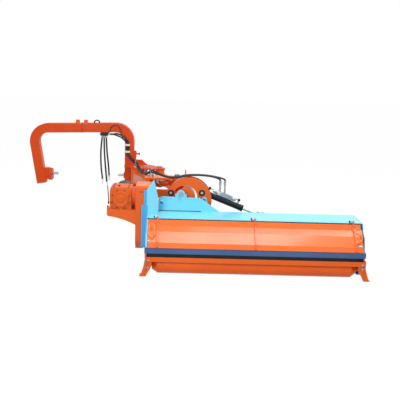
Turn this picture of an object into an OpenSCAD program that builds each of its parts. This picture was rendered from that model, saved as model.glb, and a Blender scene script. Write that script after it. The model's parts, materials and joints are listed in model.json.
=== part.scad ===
// Offset verge flail mower with hydraulic side shift and tilt, resting on its roller and skids.
// Millimetres, Z up, Y forward to the tractor, X to the right seen from behind.
// Places are given from the cylinder's side of the tilt pivot; lay() moves them to the box centre.

/* [Deck] */
// Outer face of the left side plate
deck_left = -510; // [-530:1:-490]
// Width over the two side plates
deck_w = 2000; // [1900:10:2100]
// Thickness of a side plate
side_t = 8; // [6:1:10]
// Height of the deck's top sheet
top_z = 484; // [478:1:490]
// Thickness of the deck's sheet
sheet_t = 5; // [4:0.5:6]
// Front edge of the flat top
front_y = 130; // [125:1:135]
// Hood hinge line, behind the rotor
hood_hinge_y = -215; // [-220:1:-210]
// Height of the hood hinge above the top sheet
hood_hinge_rise = 16; // [14:1:20]
// Rear face of the rear beam
beam_rear_y = -413; // [-418:1:-408]
// Side of the square rear beam
beam_side = 50; // [44:1:54]
// Top of the rear beam
beam_top_z = 255; // [250:1:260]
// Thickness of the skid runners
skid_t = 12; // [8:1:16]
// Width of the skid runners
skid_w = 50; // [40:2:60]

/* [Hood] */
// Gap from each side plate's outer face to the hood's end
hood_inset = 22; // [15:1:40]
// Thickness of the hood sheet
hood_t = 4; // [3:0.5:5]
// Height of the ribs above the hood sheet
rib_h = 22; // [16:1:26]
// Thickness of the ribs
rib_t = 12; // [8:1:16]
// Diameter of the hood hinge pins
hood_pin_d = 14; // [10:1:16]

/* [Rotor] */
// Rotor axis, forward of the layout line
rotor_y = 20; // [16:1:24]
// Height of the rotor axis
rotor_z = 260; // [255:1:265]
// Diameter of the rotor tube
rotor_d = 140; // [120:2:150]
// Radius swept by the flail tips
flail_reach = 190; // [180:1:196]
// Number of flails in each of the four rows
flails_per_row = 8; // [6:1:10]
// Diameter of the rotor's stub shafts
rotor_stub_d = 50; // [40:2:56]

/* [Roller] */
// Roller axis, behind the layout line
roller_y = -310; // [-314:1:-306]
// Radius of the roller
roller_r = 80; // [74:1:84]
// Distance from a side plate's outer face to the roller's straight part
roller_inset = 116; // [105:1:125]
// Wall of the roller's tube
roller_wall = 10; // [6:1:14]
// Length of the roller's conical ends
roller_cone = 50; // [40:1:56]
// Diameter of the roller's stub axles
roller_stub_d = 40; // [30:2:46]
// How far the roller bracket's foot flares outward
foot_flare = 40; // [30:1:50]

/* [Drive] */
// Axis of the gearbox input, left of the layout line
gear_x = -755; // [-760:1:-750]
// Height of the gearbox shafts
gear_z = 627; // [622:1:632]
// Axis of the gearbox output shaft
gear_y = 60; // [56:1:64]
// Width of the gearbox
gear_w = 196; // [180:2:206]
// Height of the gearbox
gear_h = 204; // [190:2:210]
// Depth of the gearbox
gear_d = 240; // [220:2:250]
// Radius of the round rear cover
gear_cover_r = 97; // [90:1:100]
// Width of the belt cover
belt_w = 72; // [66:1:76]
// Pitch radius of the gearbox pulley
drive_pulley_r = 95; // [85:1:98]
// Pitch radius of the rotor pulley
rotor_pulley_r = 75; // [65:1:78]
// Diameter of the splined input shaft
pto_d = 35; // [34:0.5:38]
// Mouth radius of the shaft guard
guard_r = 96; // [88:1:104]

/* [Hitch] */
// Side of the square tube of the arch
tube = 100; // [90:2:110]
// Wall of the square tube
tube_wall = 8; // [6:1:10]
// Rear face of the arch
arch_y = 1150; // [1140:5:1160]
// Centre of the right leg
leg_x = -775; // [-785:1:-765]
// Middle radius of the arch's bends
bend_r = 150; // [140:5:170]
// Centre height of the right bend
bend_z = 1022; // [1010:2:1040]
// Length of the straight top beam
beam_len = 737; // [700:1:780]
// Rise of the top beam to the right, in degrees
beam_slope = 2; // [0:0.5:3]
// Outward lean of the left leg, in degrees
leg_lean = 9; // [6:0.5:11]
// Length of the straight left leg
left_leg_len = 443; // [420:1:460]
// Lower end of the right leg
leg_foot_z = 550; // [545:1:560]
// Diameter of the lower link pins
lower_pin_d = 28; // [22:1:36]
// Free length of the lower link pins
lower_pin_len = 62; // [55:1:80]
// Height of the lower link pins
lower_pin_z = 642; // [632:1:652]
// Bore of the top link lugs
top_link_d = 25.5; // [19:0.5:32]
// Middle of the top link lugs
top_link_x = -1316; // [-1340:1:-1260]
// Gap between the top link lugs
top_link_gap = 53; // [45:1:60]
// Thickness of a top link lug
lug_t = 36; // [24:1:44]
// Height of the top link bore
top_link_z = 1202; // [1190:1:1215]

/* [Arm] */
// Left link pivot on the headstock, sideways
link_x = -690; // [-694:1:-686]
// Link pivots on the headstock, forward
link_y = 1000; // [995:1:1005]
// Distance between the two links
link_gap = 260; // [254:1:266]
// Length of the links between pivots
link_len = 560; // [540:2:575]
// Angle of the links at rest, in degrees from the X axis
link_angle = 70; // [68:0.5:72]
// Diameter of the link pivot pins
link_pin_d = 40; // [34:1:44]
// Radial running clearance of the pivots
run_gap = 0.06; // [0.03:0.01:0.1]
// Gap between the flat faces of moving pieces
face_gap = 0.6; // [0.4:0.1:1]
// Thickness of the pivot plates
plate_t = 16; // [12:1:20]
// Height of a link boss
boss_h = 164; // [150:2:170]
// Under side of the link bosses
boss_z = 584; // [580:1:588]
// Width of the link boxes
link_w = 80; // [70:2:84]
// Wall of the link boxes
link_wall = 8; // [6:1:10]

/* [Tilt] */
// Float pin of the tilt head, sideways
float_x = -294; // [-296:1:-292]
// Height of the float pin
float_z = 647; // [645:1:649]
// Cylinder pin on the tilt head, sideways
ram_x = 8; // [6:1:10]
// Height of the cylinder pin
ram_z = 655; // [653:1:657]
// Tilt hinge, sideways
hinge_x = 32; // [31:1:33]
// Height of the tilt hinge
hinge_z = 589; // [588:1:590]
// Rod pin on the deck, sideways
rod_pin_x = 620; // [610:2:630]
// Height of the rod pin
rod_pin_z = 420; // [416:1:424]
// Rear face of the rear tilt head plate
head_y = 200; // [198:1:202]
// Thickness of the tilt head plates
head_t = 15; // [12:1:16]
// Clear gap between the tilt head plates
head_gap = 85; // [82:1:90]
// Outer radius of the crescent
head_r = 223; // [219:1:225]
// Radius of the knuckle's nose
nose_r = 100; // [96:1:102]
// Gap between the nose and the crescent
nose_gap = 20; // [19:1:22]
// Diameter of the head's pins
head_pin_d = 30; // [26:1:32]
// Diameter of the tilt barrel
barrel_d = 60; // [54:1:64]
// Length of the tilt barrel from its pin
barrel_len = 420; // [410:2:430]
// Diameter of the tilt rod
rod_d = 28; // [24:1:32]

/* [Shift] */
// Shift barrel pin on the headstock, sideways
shift_x = -590; // [-592:1:-588]
// Shift barrel pin on the headstock, forward
shift_y = 985; // [983:1:987]
// Place of the shift rod's lug along the right link
shift_along = 380; // [376:2:384]
// Place of the shift rod's lug beside the right link
shift_beside = 85; // [84:1:87]
// Diameter of the shift barrel
shift_d = 60; // [54:1:62]

/* [Hoses] */
// Diameter of the hydraulic hoses
hose_d = 18; // [14:1:19]
// Diameter of the thin control cable
cable_d = 10; // [8:1:12]

/* [Hidden] */
$fn = 48;
orange = "#e2621b";
dark_blue = "#2f5d98";
blue = "#2f86cc";
black = "#1d1e20";
steel = "#b9bcc0";

// Deck outline in the Y-Z plane
deck_right = deck_left + deck_w;
inner_left = deck_left + side_t;
inner_right = deck_right - side_t;
hood_hinge = [hood_hinge_y, top_z + hood_hinge_rise];
front_lip = [front_y + 125, top_z - 199];
shell_line = [[hood_hinge_y + 4, top_z], [front_y, top_z], [front_y + 78, top_z - 84], front_lip];
hood_line = [[hood_hinge_y - 8, top_z - 8], [hood_hinge_y - 36, top_z - 59], [hood_hinge_y - 96, top_z - 100],
    [beam_rear_y + 21, beam_top_z + 47], [beam_rear_y - 4, beam_top_z + 4]];
hood_left = deck_left + hood_inset;
hood_right = deck_right - hood_inset;
rib_xs = [hood_left + 88, (hood_left + hood_right) / 2, hood_right - 69];
block_t = 22;
hinge_r = 13;
hinge_xs = [for (x = rib_xs) x - rib_t / 2 - face_gap - block_t];
loop_off = 26;
loop_w = 50;
loop_len = 78;
loop_d = 11;
flange_y = -94;
flange_top_z = top_z + 93;
flap_low_z = 85;
rod_flap = [front_lip.x + 12, front_lip.y - 22];
flap_rod_d = 16;
flap_count = 9;
flap_gap = 6;

// Skids and roller brackets
skid_line = [[-240, skid_t / 2], [330, skid_t / 2], [400, 62]];
bracket_t = 12;
roller_end_r = roller_r - 35;
bolt_h = 12;
bar_t = 20;
bar_rear_y = beam_rear_y - 53;
bar_low_z = 143;
bar_h = 40;
foot_len = 65;
foot_t = 10;
foot_z = foot_t / 2 + 1;
bearing_r = 45;
skid_out = 20;
rotor_end_gap = 16;
flail_splay = 12;

// Belt housing outline in the Y-Z plane, round the two pulleys
cover_t = 4;
belt_left = deck_left - 31 - belt_w - cover_t;
belt_right = deck_left - 31;
cover_rear_y = -80;
cover_front_y = gear_y + drive_pulley_r + 32;
cover_top_z = gear_z + drive_pulley_r + 33;
cover_low_z = rotor_z - rotor_pulley_r - 39;
cover_line = [[cover_rear_y, rotor_z - 31], [cover_rear_y, cover_top_z - 12], [cover_rear_y + 12, cover_top_z],
    [cover_front_y - 16, cover_top_z], [cover_front_y, cover_top_z - 16], [cover_front_y, gear_z - 70],
    [rotor_y + rotor_pulley_r + 32, rotor_z - 40], [rotor_y + rotor_pulley_r + 6, cover_low_z],
    [rotor_y - 36, cover_low_z]];
cover_wide_x = deck_left + 36;
cover_head = [[cover_rear_y, cover_top_z - 150], [cover_rear_y, cover_top_z - 12],
    [cover_rear_y + 12, cover_top_z], [cover_front_y - 16, cover_top_z], [cover_front_y, cover_top_z - 16],
    [cover_front_y, cover_top_z - 150]];
pulley_w = 50;
pulley_x = belt_left + cover_t + 11;
belt_t = 9;
belt_gap = 0.8;
output_d = 45;

// Gearbox
gear_left = gear_x - gear_w / 2;
gear_rear = gear_y - gear_d / 2;
gear_front = gear_y + gear_d / 2;
gear_low = gear_z - gear_h / 2;
gear_wall = 22;
cover_hole_r = 78;
input_pitch_r = 62;
pinion_pitch_r = 24;
mesh_gap = 0.4;
pto_len = 78;
guard_len = 236;

// Arch of the headstock in the X-Z plane
bend_right = [leg_x - bend_r, bend_z];
bend_left = bend_right - beam_len * [cos(beam_slope), sin(beam_slope)];
left_leg_top = bend_left + bend_r * [cos(180 + leg_lean), sin(180 + leg_lean)];
arch_mid_y = arch_y + tube / 2;
function beam_mid(x) = bend_right.y + bend_r * sin(90 + beam_slope)
    + (x - bend_right.x - bend_r * cos(90 + beam_slope)) * tan(beam_slope);
leg_inner_x = leg_x - tube / 2;
function left_leg_mid(z) = left_leg_top.x + (left_leg_top.y - z) * tan(leg_lean);
left_leg_inner_x = left_leg_mid(lower_pin_z) + tube / 2 / cos(leg_lean);
lower_root_d = lower_pin_d - 6;
block_w = 50;
cheek_t = 32;
cheek_r = 60;
right_boss_t = 12;
right_boss_r = 33;
top_link_y = arch_y + tube + 52;

// Links, swung by the side shift
left_0 = [link_x, link_y];
right_0 = [link_x + link_gap, link_y];
link_dir = [cos(link_angle), -sin(link_angle)];
left_1 = left_0 + link_len * link_dir;
right_1 = right_0 + link_len * link_dir;
link_beside = [link_dir.y, -link_dir.x];
boss_r = 50;
top_plate_z = boss_z + boss_h + face_gap;
low_plate_z = boss_z - face_gap - plate_t;
box_z = boss_z + 26;
box_h = boss_h - 62;
pin_z0 = low_plate_z - 12;
pin_z1 = top_plate_z + plate_t + 12;

// Shift cylinder, level between the links
shift_0 = [shift_x, shift_y];
shift_1 = right_0 + shift_along * link_dir + shift_beside * link_beside;
shift_len = norm(shift_1 - shift_0);
shift_angle = atan2(shift_1.y - shift_0.y, shift_1.x - shift_0.x);
shift_z = boss_z + boss_h / 2;
shift_barrel_len = 235;
shift_rod_d = 28;
shift_pin_d = 24;
open_gap = 11;

// Tilt head, in the X-Z plane
float_pin_at = [float_x, float_z];
ram_pin_at = [ram_x, ram_z];
hinge_at = [hinge_x, hinge_z];
rod_pin_at = [rod_pin_x, rod_pin_z];
head_mid = [hinge_x - 150, hinge_z - 14];
nose_mid = [float_x + 139, float_z - 45];
nose_low_z = nose_mid.y - 10;
nose_rear_y = head_y - 35;
head_front_y = head_y + 2 * head_t + head_gap;
head_mid_y = head_y + head_t + head_gap / 2;
cylinder_angle = -atan2(rod_pin_z - ram_z, rod_pin_x - ram_x);
cylinder_len = norm(rod_pin_at - ram_pin_at);
bore_d = barrel_d - 16;
gland_t = 16;
clevis_len = 76;
shift_clevis_len = 62;
fork_t = 14;
ear_t = 22;
tilt_open_gap = 16;
lug_pin_t = 14;
foot_r = 35;
head_low_z = hinge_z - 59;
rim_t = 18;
rim_from = 96;
rim_to = 132;
lip_t = 9;
lip_from = -10;
lip_to = 118;
lug_gap = 2;
platform_z = hinge_z - 97;
platform_x = hinge_x - 92;
platform_w = 190;
web_y = head_front_y + 30;
web_open_z = boss_z + 66;
guide_h = 70;
guide_x = head_mid.x - 38;

// Fittings on the tilt cylinder, along it and above it
valve_from = 100;
valve_len = 240;
valve_low = barrel_d / 2;
valve_d = 46;
valve_h = 44;
banjo_from = 60;
banjo_z = barrel_d / 2 + 34;
pipe_d = 12;
elbow_along = [163, 213];
elbow_top_z = 745;
function on_valve(x) = ram_pin_at + [x * cos(cylinder_angle) + (valve_low + valve_h) * sin(cylinder_angle),
    (valve_low + valve_h) * cos(cylinder_angle) - x * sin(cylinder_angle)];
elbow_xs = [for (x = elbow_along) on_valve(x).x];
plinth_y = front_y - 25;
plinth_t = 10;
plinth_top = top_z + 140;
transport_at = [-195, 653];
stub_at = [-380, plinth_top - 52];
stub_len = 34;
transport_d = 24;

// Hose routes, chosen by hand
hanger_x = -1050;
hanger_w = 84;
hanger_low_z = 1086;
hoop_x = hanger_x - 86;
hose_step = hose_d + 4;
hanger_y = arch_y - 36;
leg_hose_x = leg_x - 18;
leg_hose_y = arch_y - hose_d / 2 - 4;
hang_y = arch_y - 12;
hose_split = 0.5;
bend_in = [1 / 3, -1, 0];
link_0 = [link_x, link_y, 815];
link_1 = [left_1.x, left_1.y, 815];
elbow_top = [(elbow_xs[0] + elbow_xs[1]) / 2, head_mid_y, elbow_top_z];
elbow_part = (elbow_xs[1] - elbow_xs[0]) / hose_step;
leg_route = [link_0 - hose_split * bend_in, link_0 - 20 * bend_in, link_0 - 40 * bend_in, [-752, arch_y - 48, 842],
    [leg_hose_x, leg_hose_y, 900], [leg_hose_x, leg_hose_y, 1000], [-842, arch_y - 18, 1068],
    [-905, arch_y - 20, 1098], [-950, hang_y, 1101], [-980, hang_y, 1101], [-1007.4, hang_y, 1101]];
leg_spread = [[0, 0, 1], [0, 0, 1], [0, 0, 1], [0.7, 0, 0.7], [1, 0, 0], [1, 0, 0], [0.7, 0, 0.7], [0, 0.3, 0.9],
    [0, 1, 0], [0, 1, 0], [0, 1, 0]];
arm_route = [link_0 + hose_split * bend_in, link_0 + 20 * bend_in, link_0 + 40 * bend_in, [-640, 850, 766],
    [-590, 716, 746], [-534, 562, 778], link_1 - 40 * bend_in, link_1 - 20 * bend_in,
    link_1 - hose_split * bend_in];
arm_spread = [[0, 0, 1], [0, 0, 1], [0, 0, 1], [1, 0.3, 0], [1, 0.3, 0], [1, 0.3, 0], [0, 0, 1], [0, 0, 1],
    [0, 0, 1]];
tilt_route = [link_1 + hose_split * bend_in, link_1 + 20 * bend_in, link_1 + 40 * bend_in, [-428, 366, 806],
    [-330, 300, 786], [-235, 264, 792], [-156, head_mid_y, 812], [-60, head_mid_y, 820], [40, head_mid_y, 818],
    [130, head_mid_y, 806], elbow_top + [-14, 0, 42], elbow_top + [0, 0, 24], elbow_top + [0, 0, 12],
    elbow_top + [0, 0, hose_split]];
tilt_spread = [[0, 0, 1], [0, 0, 1], [0, 0, 1], [0.3, 0.9, 0.3], [0, 1.2, 0], [0, 1.8, 0], [0, 1.8, 0],
    [0, 1.4, 0], [0, 1.2, 0], [0.8, 0.8, 0], [elbow_part, 0, 0], [elbow_part, 0, 0], [elbow_part, 0, 0],
    [elbow_part, 0, 0]];
hang_1 = [[-1074, hang_y, hanger_low_z - 0.4], [-1074, hang_y, 1070], [-1074, hang_y, 1050],
    [-1086, hang_y - 2, 900], [-1082, hang_y - 4, 740], [-1070, hang_y - 6, 640], [-1068, hang_y - 6, 606]];
hang_2 = [[-1050, hang_y, hanger_low_z - 0.4], [-1050, hang_y, 1070], [-1050, hang_y, 1050],
    [-1046, hang_y - 6, 900], [-1034, hang_y - 8, 740], [-1022, hang_y - 8, 610], [-1020, hang_y - 8, 576]];
hang_3 = [[-1026, hang_y, hanger_low_z - 0.4], [-1026, hang_y, 1070], [-1026, hang_y, 1050],
    [-1018, hang_y, 900], [-1004, hang_y, 780], [-996, hang_y, 680], [-995, hang_y, 646]];
hang_4 = [[-1050, hang_y + 28, hanger_low_z - 0.4], [-1050, hang_y + 28, 1070], [-1050, hang_y + 28, 1050],
    [-1044, hang_y + 26, 860], [-1024, hang_y + 24, 640], [-1004, hang_y + 22, 420],
    [-1000, hang_y + 22, 350]];
coupler_d = 26;
coupler_len = 56;

// Box centre, so the origin lies under the middle of the mower
box_left = bend_left.x - bend_r - tube / 2;
box_right = deck_right + foot_flare;
box_rear = bar_rear_y - bolt_h;
box_front = top_link_y + 34;
centre = [(box_left + box_right) / 2, (box_rear + box_front) / 2, 0];

// Placing helpers
module lay(c) color(c) translate(-centre) children();
module along_x(x0, x1) translate([x0, 0, 0]) rotate([90, 0, 90]) linear_extrude(x1 - x0) children();
module along_y(y0, y1) translate([0, y1, 0]) rotate([90, 0, 0]) linear_extrude(y1 - y0) children();
module along_z(z0, z1) translate([0, 0, z0]) linear_extrude(z1 - z0) children();
module rod_x(p, d, x0, x1) translate([x0, p.x, p.y]) rotate([0, 90, 0]) cylinder(d = d, h = x1 - x0);
module rod_y(p, d, y0, y1) translate([p.x, y1, p.y]) rotate([90, 0, 0]) cylinder(d = d, h = y1 - y0);
module rod_z(p, d, z0, z1) translate([p.x, p.y, z0]) cylinder(d = d, h = z1 - z0);
module hex_x(p, d, x0, x1) translate([x0, p.x, p.y]) rotate([0, 90, 0]) cylinder(d = d, h = x1 - x0, $fn = 6);
module hex_y(p, d, y0, y1) translate([p.x, y1, p.y]) rotate([90, 0, 0]) cylinder(d = d, h = y1 - y0, $fn = 6);

// Flat shapes
module dot(p, r) translate(p) circle(r);
module segment(a, b, t) {
    translate(a) rotate(atan2(b.y - a.y, b.x - a.x)) translate([0, -t / 2]) square([norm(b - a), t]);
}
function left_of(v) = [-v.y, v.x];
function edge(p, i) = unit(p[i + 1] - p[i]);
function mitre(a, b) = (left_of(a) + left_of(b)) / (1 + a * b);
function moved(p, d) = [for (i = [0 : len(p) - 1]) p[i] + d * (i == 0 ? left_of(edge(p, 0))
    : i == len(p) - 1 ? left_of(edge(p, i - 1)) : mitre(edge(p, i - 1), edge(p, i)))];
function grown(p, d) = [for (i = [0 : len(p) - 1])
    let (a = unit(p[i] - p[(i + len(p) - 1) % len(p)]), b = unit(p[(i + 1) % len(p)] - p[i]))
    p[i] + d * mitre(a, b)];
function backwards(p) = [for (i = [len(p) - 1 : -1 : 0]) p[i]];
function arc(c, r, a0, a1) = [for (i = [0 : 24]) let (a = a0 + (a1 - a0) * i / 24) c + r * [cos(a), sin(a)]];
module strip(line, t) polygon(concat(moved(line, t / 2), backwards(moved(line, -t / 2))));
module sector(r, a0, a1) {
    polygon([[0, 0], for (i = [0 : 4]) let (a = a0 + (a1 - a0) * i / 4) r * [cos(a), sin(a)]]);
}
module bend_band(c, a0, a1, w) translate(c) intersection() {
    difference() {
        circle(bend_r + w / 2);
        circle(bend_r - w / 2);
    }
    sector(2 * bend_r, a0, a1);
}

// Hose tubes: a smooth curve through the route, with rings carried along it without twist
function unit(v) = v / norm(v);
function curve_at(a, b, c, d, t) = 0.5 * (2 * b + (c - a) * t + (2 * a - 5 * b + 4 * c - d) * t * t
    + (3 * b - a - 3 * c + d) * t * t * t);
function smooth(p, n) = [for (i = [0 : len(p) - 2]) for (k = [0 : n - 1])
    curve_at(p[max(i - 1, 0)], p[i], p[i + 1], p[min(i + 2, len(p) - 1)], k / n), p[len(p) - 1]];
function tangents(p) = [for (i = [0 : len(p) - 1]) unit(p[min(i + 1, len(p) - 1)] - p[max(i - 1, 0)])];
function square_to(v, t) = unit(v - (v * t) * t);
function normals(t, first) = [for (i = 0, n = square_to(first, t[0]); i < len(t);
    i = i + 1, n = i < len(t) ? square_to(n, t[i]) : n) n];
module tube_along(p, d, sides, first) {
    t = tangents(p);
    n = normals(t, first);
    last = len(p) - 1;
    points = [for (i = [0 : last]) for (k = [0 : sides - 1]) let (a = 360 * k / sides)
        p[i] + d / 2 * (cos(a) * n[i] + sin(a) * cross(t[i], n[i]))];
    walls = [for (i = [0 : last - 1]) for (k = [0 : sides - 1])
        let (a = i * sides, b = a + sides, m = (k + 1) % sides)
        each [[a + k, b + k, a + m], [b + k, b + m, a + m]]];
    start = [for (k = [1 : sides - 2]) [0, k, k + 1]];
    finish = [for (k = [1 : sides - 2]) [last * sides, last * sides + k + 1, last * sides + k]];
    polyhedron(points, concat(walls, start, finish));
}

// Headstock

module arch_band(w, over) {
    translate([leg_x - w / 2, leg_foot_z - over]) square([w, bend_z - leg_foot_z + over]);
    bend_band(bend_right, 0, 90 + beam_slope, w);
    segment(bend_left + bend_r * [-sin(beam_slope), cos(beam_slope)],
        bend_right + bend_r * [-sin(beam_slope), cos(beam_slope)], w);
    bend_band(bend_left, 90 + beam_slope, 180 + leg_lean, w);
    translate(left_leg_top) rotate(leg_lean - 90) translate([0, -w / 2]) square([left_leg_len + over, w]);
}
module arch_solid() along_y(arch_y, arch_y + tube) arch_band(tube, 0);
module hitch_arch() lay(orange) difference() {
    arch_solid();
    along_y(arch_y + tube_wall, arch_y + tube - tube_wall) arch_band(tube - 2 * tube_wall, 1);
}
module top_link_lug(x) difference() {
    foot_z = beam_mid(x) - 36;
    along_x(x, x + lug_t) difference() {
        union() {
            dot([top_link_y, top_link_z], 34);
            polygon([[arch_y + tube - 10, foot_z], [arch_y + tube - 10, top_link_z - 6],
                [top_link_y - 12, top_link_z + 31], [top_link_y, top_link_z], [top_link_y + 30, top_link_z - 16],
                [arch_y + tube + 20, foot_z]]);
        }
        dot([top_link_y, top_link_z], top_link_d / 2);
    }
    arch_solid();
}
module top_link_lugs() lay(orange) {
    top_link_lug(top_link_x - top_link_gap / 2 - lug_t);
    top_link_lug(top_link_x + top_link_gap / 2);
}
module lower_bracket(side, face_x) difference() {
    union() {
        along_x(min(face_x - side * 40, face_x + side * block_w),
            max(face_x - side * 40, face_x + side * block_w))
            translate([arch_mid_y - 40, lower_pin_z - 62]) square([80, 124]);
        along_x(min(face_x + side * block_w, face_x + side * (block_w + cheek_t)),
            max(face_x + side * block_w, face_x + side * (block_w + cheek_t))) {
            dot([arch_mid_y, lower_pin_z], cheek_r);
            translate([arch_mid_y - cheek_r, lower_pin_z - 66]) square([2 * cheek_r, 66]);
        }
    }
    arch_solid();
    rod_x([arch_mid_y, lower_pin_z], lower_root_d, face_x - 100, face_x + 100);
}
module lower_link_brackets() lay(orange) {
    lower_bracket(1, left_leg_inner_x);
    difference() {
        rod_x([arch_mid_y, lower_pin_z], 2 * right_boss_r, leg_inner_x - right_boss_t, leg_inner_x);
        rod_x([arch_mid_y, lower_pin_z], lower_root_d, leg_inner_x - 100, leg_inner_x + 100);
    }
}
module lower_pin(side, seat, root_len) difference() {
    tip = seat + side * lower_pin_len;
    root = seat - side * root_len;
    union() {
        rod_x([arch_mid_y, lower_pin_z], lower_root_d, min(root, tip), max(root, tip));
        rod_x([arch_mid_y, lower_pin_z], lower_pin_d, min(seat, tip), max(seat, tip));
    }
    rod_z([tip - side * 14, arch_mid_y], 11, lower_pin_z - 20, lower_pin_z + 20);
}
module lower_link_pins() lay(steel) {
    lower_pin(1, left_leg_inner_x + block_w + cheek_t, block_w + cheek_t - 12);
    lower_pin(-1, leg_inner_x - right_boss_t, right_boss_t - face_gap);
}
module pivot_plate(z) along_z(z, z + plate_t) difference() {
    union() {
        dot(left_0, 55);
        dot(right_0, 55);
        polygon([[leg_inner_x, arch_y], [leg_x + tube / 2, arch_y], [leg_x + tube / 2, arch_y + 80],
            [leg_x + tube / 2 + 165, arch_y + 80], [right_0.x + 45, link_y + 30], [right_0.x, link_y - 55],
            [left_0.x, link_y - 55], [left_0.x - 52, link_y + 18], [leg_inner_x, arch_y - 50]]);
    }
    dot(left_0, link_pin_d / 2);
    dot(right_0, link_pin_d / 2);
    dot(shift_0, shift_pin_d / 2);
}
module pivot_bracket() lay(orange) {
    leg_side = leg_x + tube / 2;
    pivot_plate(top_plate_z);
    pivot_plate(low_plate_z);
    along_y(arch_y + 50, arch_y + 66) polygon([[leg_side, top_plate_z + plate_t], [leg_side, top_plate_z + 72],
        [leg_side + 85, top_plate_z + 72], [leg_side + 150, top_plate_z + plate_t]]);
    along_y(arch_y + 50, arch_y + 66) translate([leg_side, low_plate_z + plate_t])
        square([150, top_plate_z - low_plate_z - plate_t]);
    along_y(arch_y + 20, arch_y + 36) polygon([[leg_side, top_plate_z + plate_t],
        [leg_side + 16, top_plate_z + plate_t], [leg_side + 30, top_plate_z + 150],
        [leg_side + 22, top_plate_z + 176], [leg_side, top_plate_z + 176]]);
}
module capped_pin(p, d, cap_d) {
    rod_z(p, d, pin_z0 + 12, pin_z1);
    rod_z(p, cap_d, pin_z1 - 12, pin_z1 + 8);
    rod_z(p, cap_d, pin_z0, pin_z0 + 12);
}
module link_pins() lay(steel) {
    capped_pin(left_0, link_pin_d, link_pin_d + 14);
    capped_pin(right_0, link_pin_d, link_pin_d + 14);
    capped_pin(shift_0, shift_pin_d, shift_pin_d + 12);
}
module stop_bolt() lay(steel) {
    bolt_at = [arch_y + 28, top_plate_z + 140];
    rod_x(bolt_at, 14, leg_x + tube / 2 + 30, leg_x + tube / 2 + 52);
    hex_x(bolt_at, 26, leg_x + tube / 2 + 52, leg_x + tube / 2 + 64);
}
module hose_clamp(z) {
    reach = hose_step / 2 + hose_d / 2 + 3;
    y0 = arch_y - hose_d - 8;
    translate([leg_hose_x - reach - 3, y0 - 3, z - 11]) cube([2 * reach + 6, 3, 22]);
    for (x = [leg_hose_x - reach - 3, leg_hose_x + reach]) translate([x, y0, z - 11]) cube([3, arch_y - y0, 22]);
}
module hose_clamps() lay("white") {
    for (z = [990, 915]) hose_clamp(z);
}
module hose_hanger() lay(black) difference() {
    union() {
        translate([hanger_x - hanger_w / 2, hanger_y, hanger_low_z])
            cube([hanger_w, 64, beam_mid(hanger_x) - hanger_low_z]);
        translate([hoop_x, arch_mid_y, beam_mid(hoop_x) + tube / 2 - 2]) rotate([90, 0, 0])
            rotate_extrude(angle = 180) translate([30, 0]) circle(7);
    }
    arch_solid();
    translate([hanger_x - hanger_w, hanger_y - 1, beam_mid(hanger_x) - tube / 2 - 4])
        cube([2 * hanger_w, arch_y + 1 - hanger_y, tube]);
}
function beside(route, spread, k) = [for (i = [0 : len(route) - 1])
    route[i] + (k - 0.5) * hose_step * spread[i]];
module hose_pair(route, spread) {
    for (k = [0, 1]) tube_along(smooth(beside(route, spread, k), 3), hose_d, 8, [0.3, 1, 0.2]);
}
module leg_hoses() lay(black) hose_pair(leg_route, leg_spread);
module hanging_hose(route, d) tube_along(smooth(route, 3), d, 8, [0, 1, 0]);
module hanging_hose_1() lay(black) hanging_hose(hang_1, hose_d);
module hanging_hose_2() lay(black) hanging_hose(hang_2, hose_d);
module hanging_hose_3() lay(black) hanging_hose(hang_3, hose_d);
module hanging_cable() lay("gray") hanging_hose(hang_4, cable_d);
module coupler(p) {
    rod_z(p, coupler_d, p.z - 30, p.z - 0.4);
    rod_z(p, coupler_d - 7, p.z - coupler_len, p.z - 30);
}
module quick_couplers() lay(steel) {
    for (route = [hang_1, hang_2, hang_3]) coupler(route[len(route) - 1]);
}
module cable_plug() lay(steel) {
    p = hang_4[len(hang_4) - 1];
    rod_z(p, cable_d + 8, p.z - 32, p.z - 0.4);
}

// Side shift

module link_body(a, b) difference() {
    union() {
        for (p = [a, b]) rod_z(p, 2 * boss_r, boss_z, boss_z + boss_h);
        along_z(box_z, box_z + box_h) segment(a, b, link_w);
        children();
    }
    along_z(box_z - 1, box_z + box_h - link_wall) difference() {
        segment(a, b, link_w - 2 * link_wall);
        dot(a, boss_r);
        dot(b, boss_r);
    }
    for (p = [a, b]) rod_z(p, link_pin_d + 2 * run_gap, boss_z - 1, boss_z + boss_h + 1);
}
module left_link() lay(orange) link_body(left_0, left_1);
module right_link() lay(orange) difference() {
    lug_r = shift_pin_d / 2 + open_gap + 14;
    root = shift_1 - (shift_beside - link_w / 2 + link_wall / 2) * link_beside;
    facing = atan2(link_beside.y, link_beside.x);
    link_body(right_0, right_1) along_z(shift_z - ear_t / 2, shift_z + ear_t / 2)
        polygon(concat([root + lug_r * link_dir], arc(shift_1, lug_r, facing + 90, facing - 90),
            [root - lug_r * link_dir]));
    rod_z(shift_1, shift_pin_d + 2 * open_gap, shift_z - ear_t, shift_z + ear_t);
}
module arm_hoses() lay(black) hose_pair(arm_route, arm_spread);
module knuckle_plate(z) along_z(z, z + plate_t) difference() {
    union() {
        dot(left_1, 55);
        dot(right_1, 55);
        polygon([[left_1.x - 55, web_y], [right_1.x + 55, web_y], [right_1.x + 55, left_1.y],
            [right_1.x, left_1.y + 55], [left_1.x, left_1.y + 55], [left_1.x - 55, left_1.y]]);
    }
    dot(left_1, link_pin_d / 2);
    dot(right_1, link_pin_d / 2);
}
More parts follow.
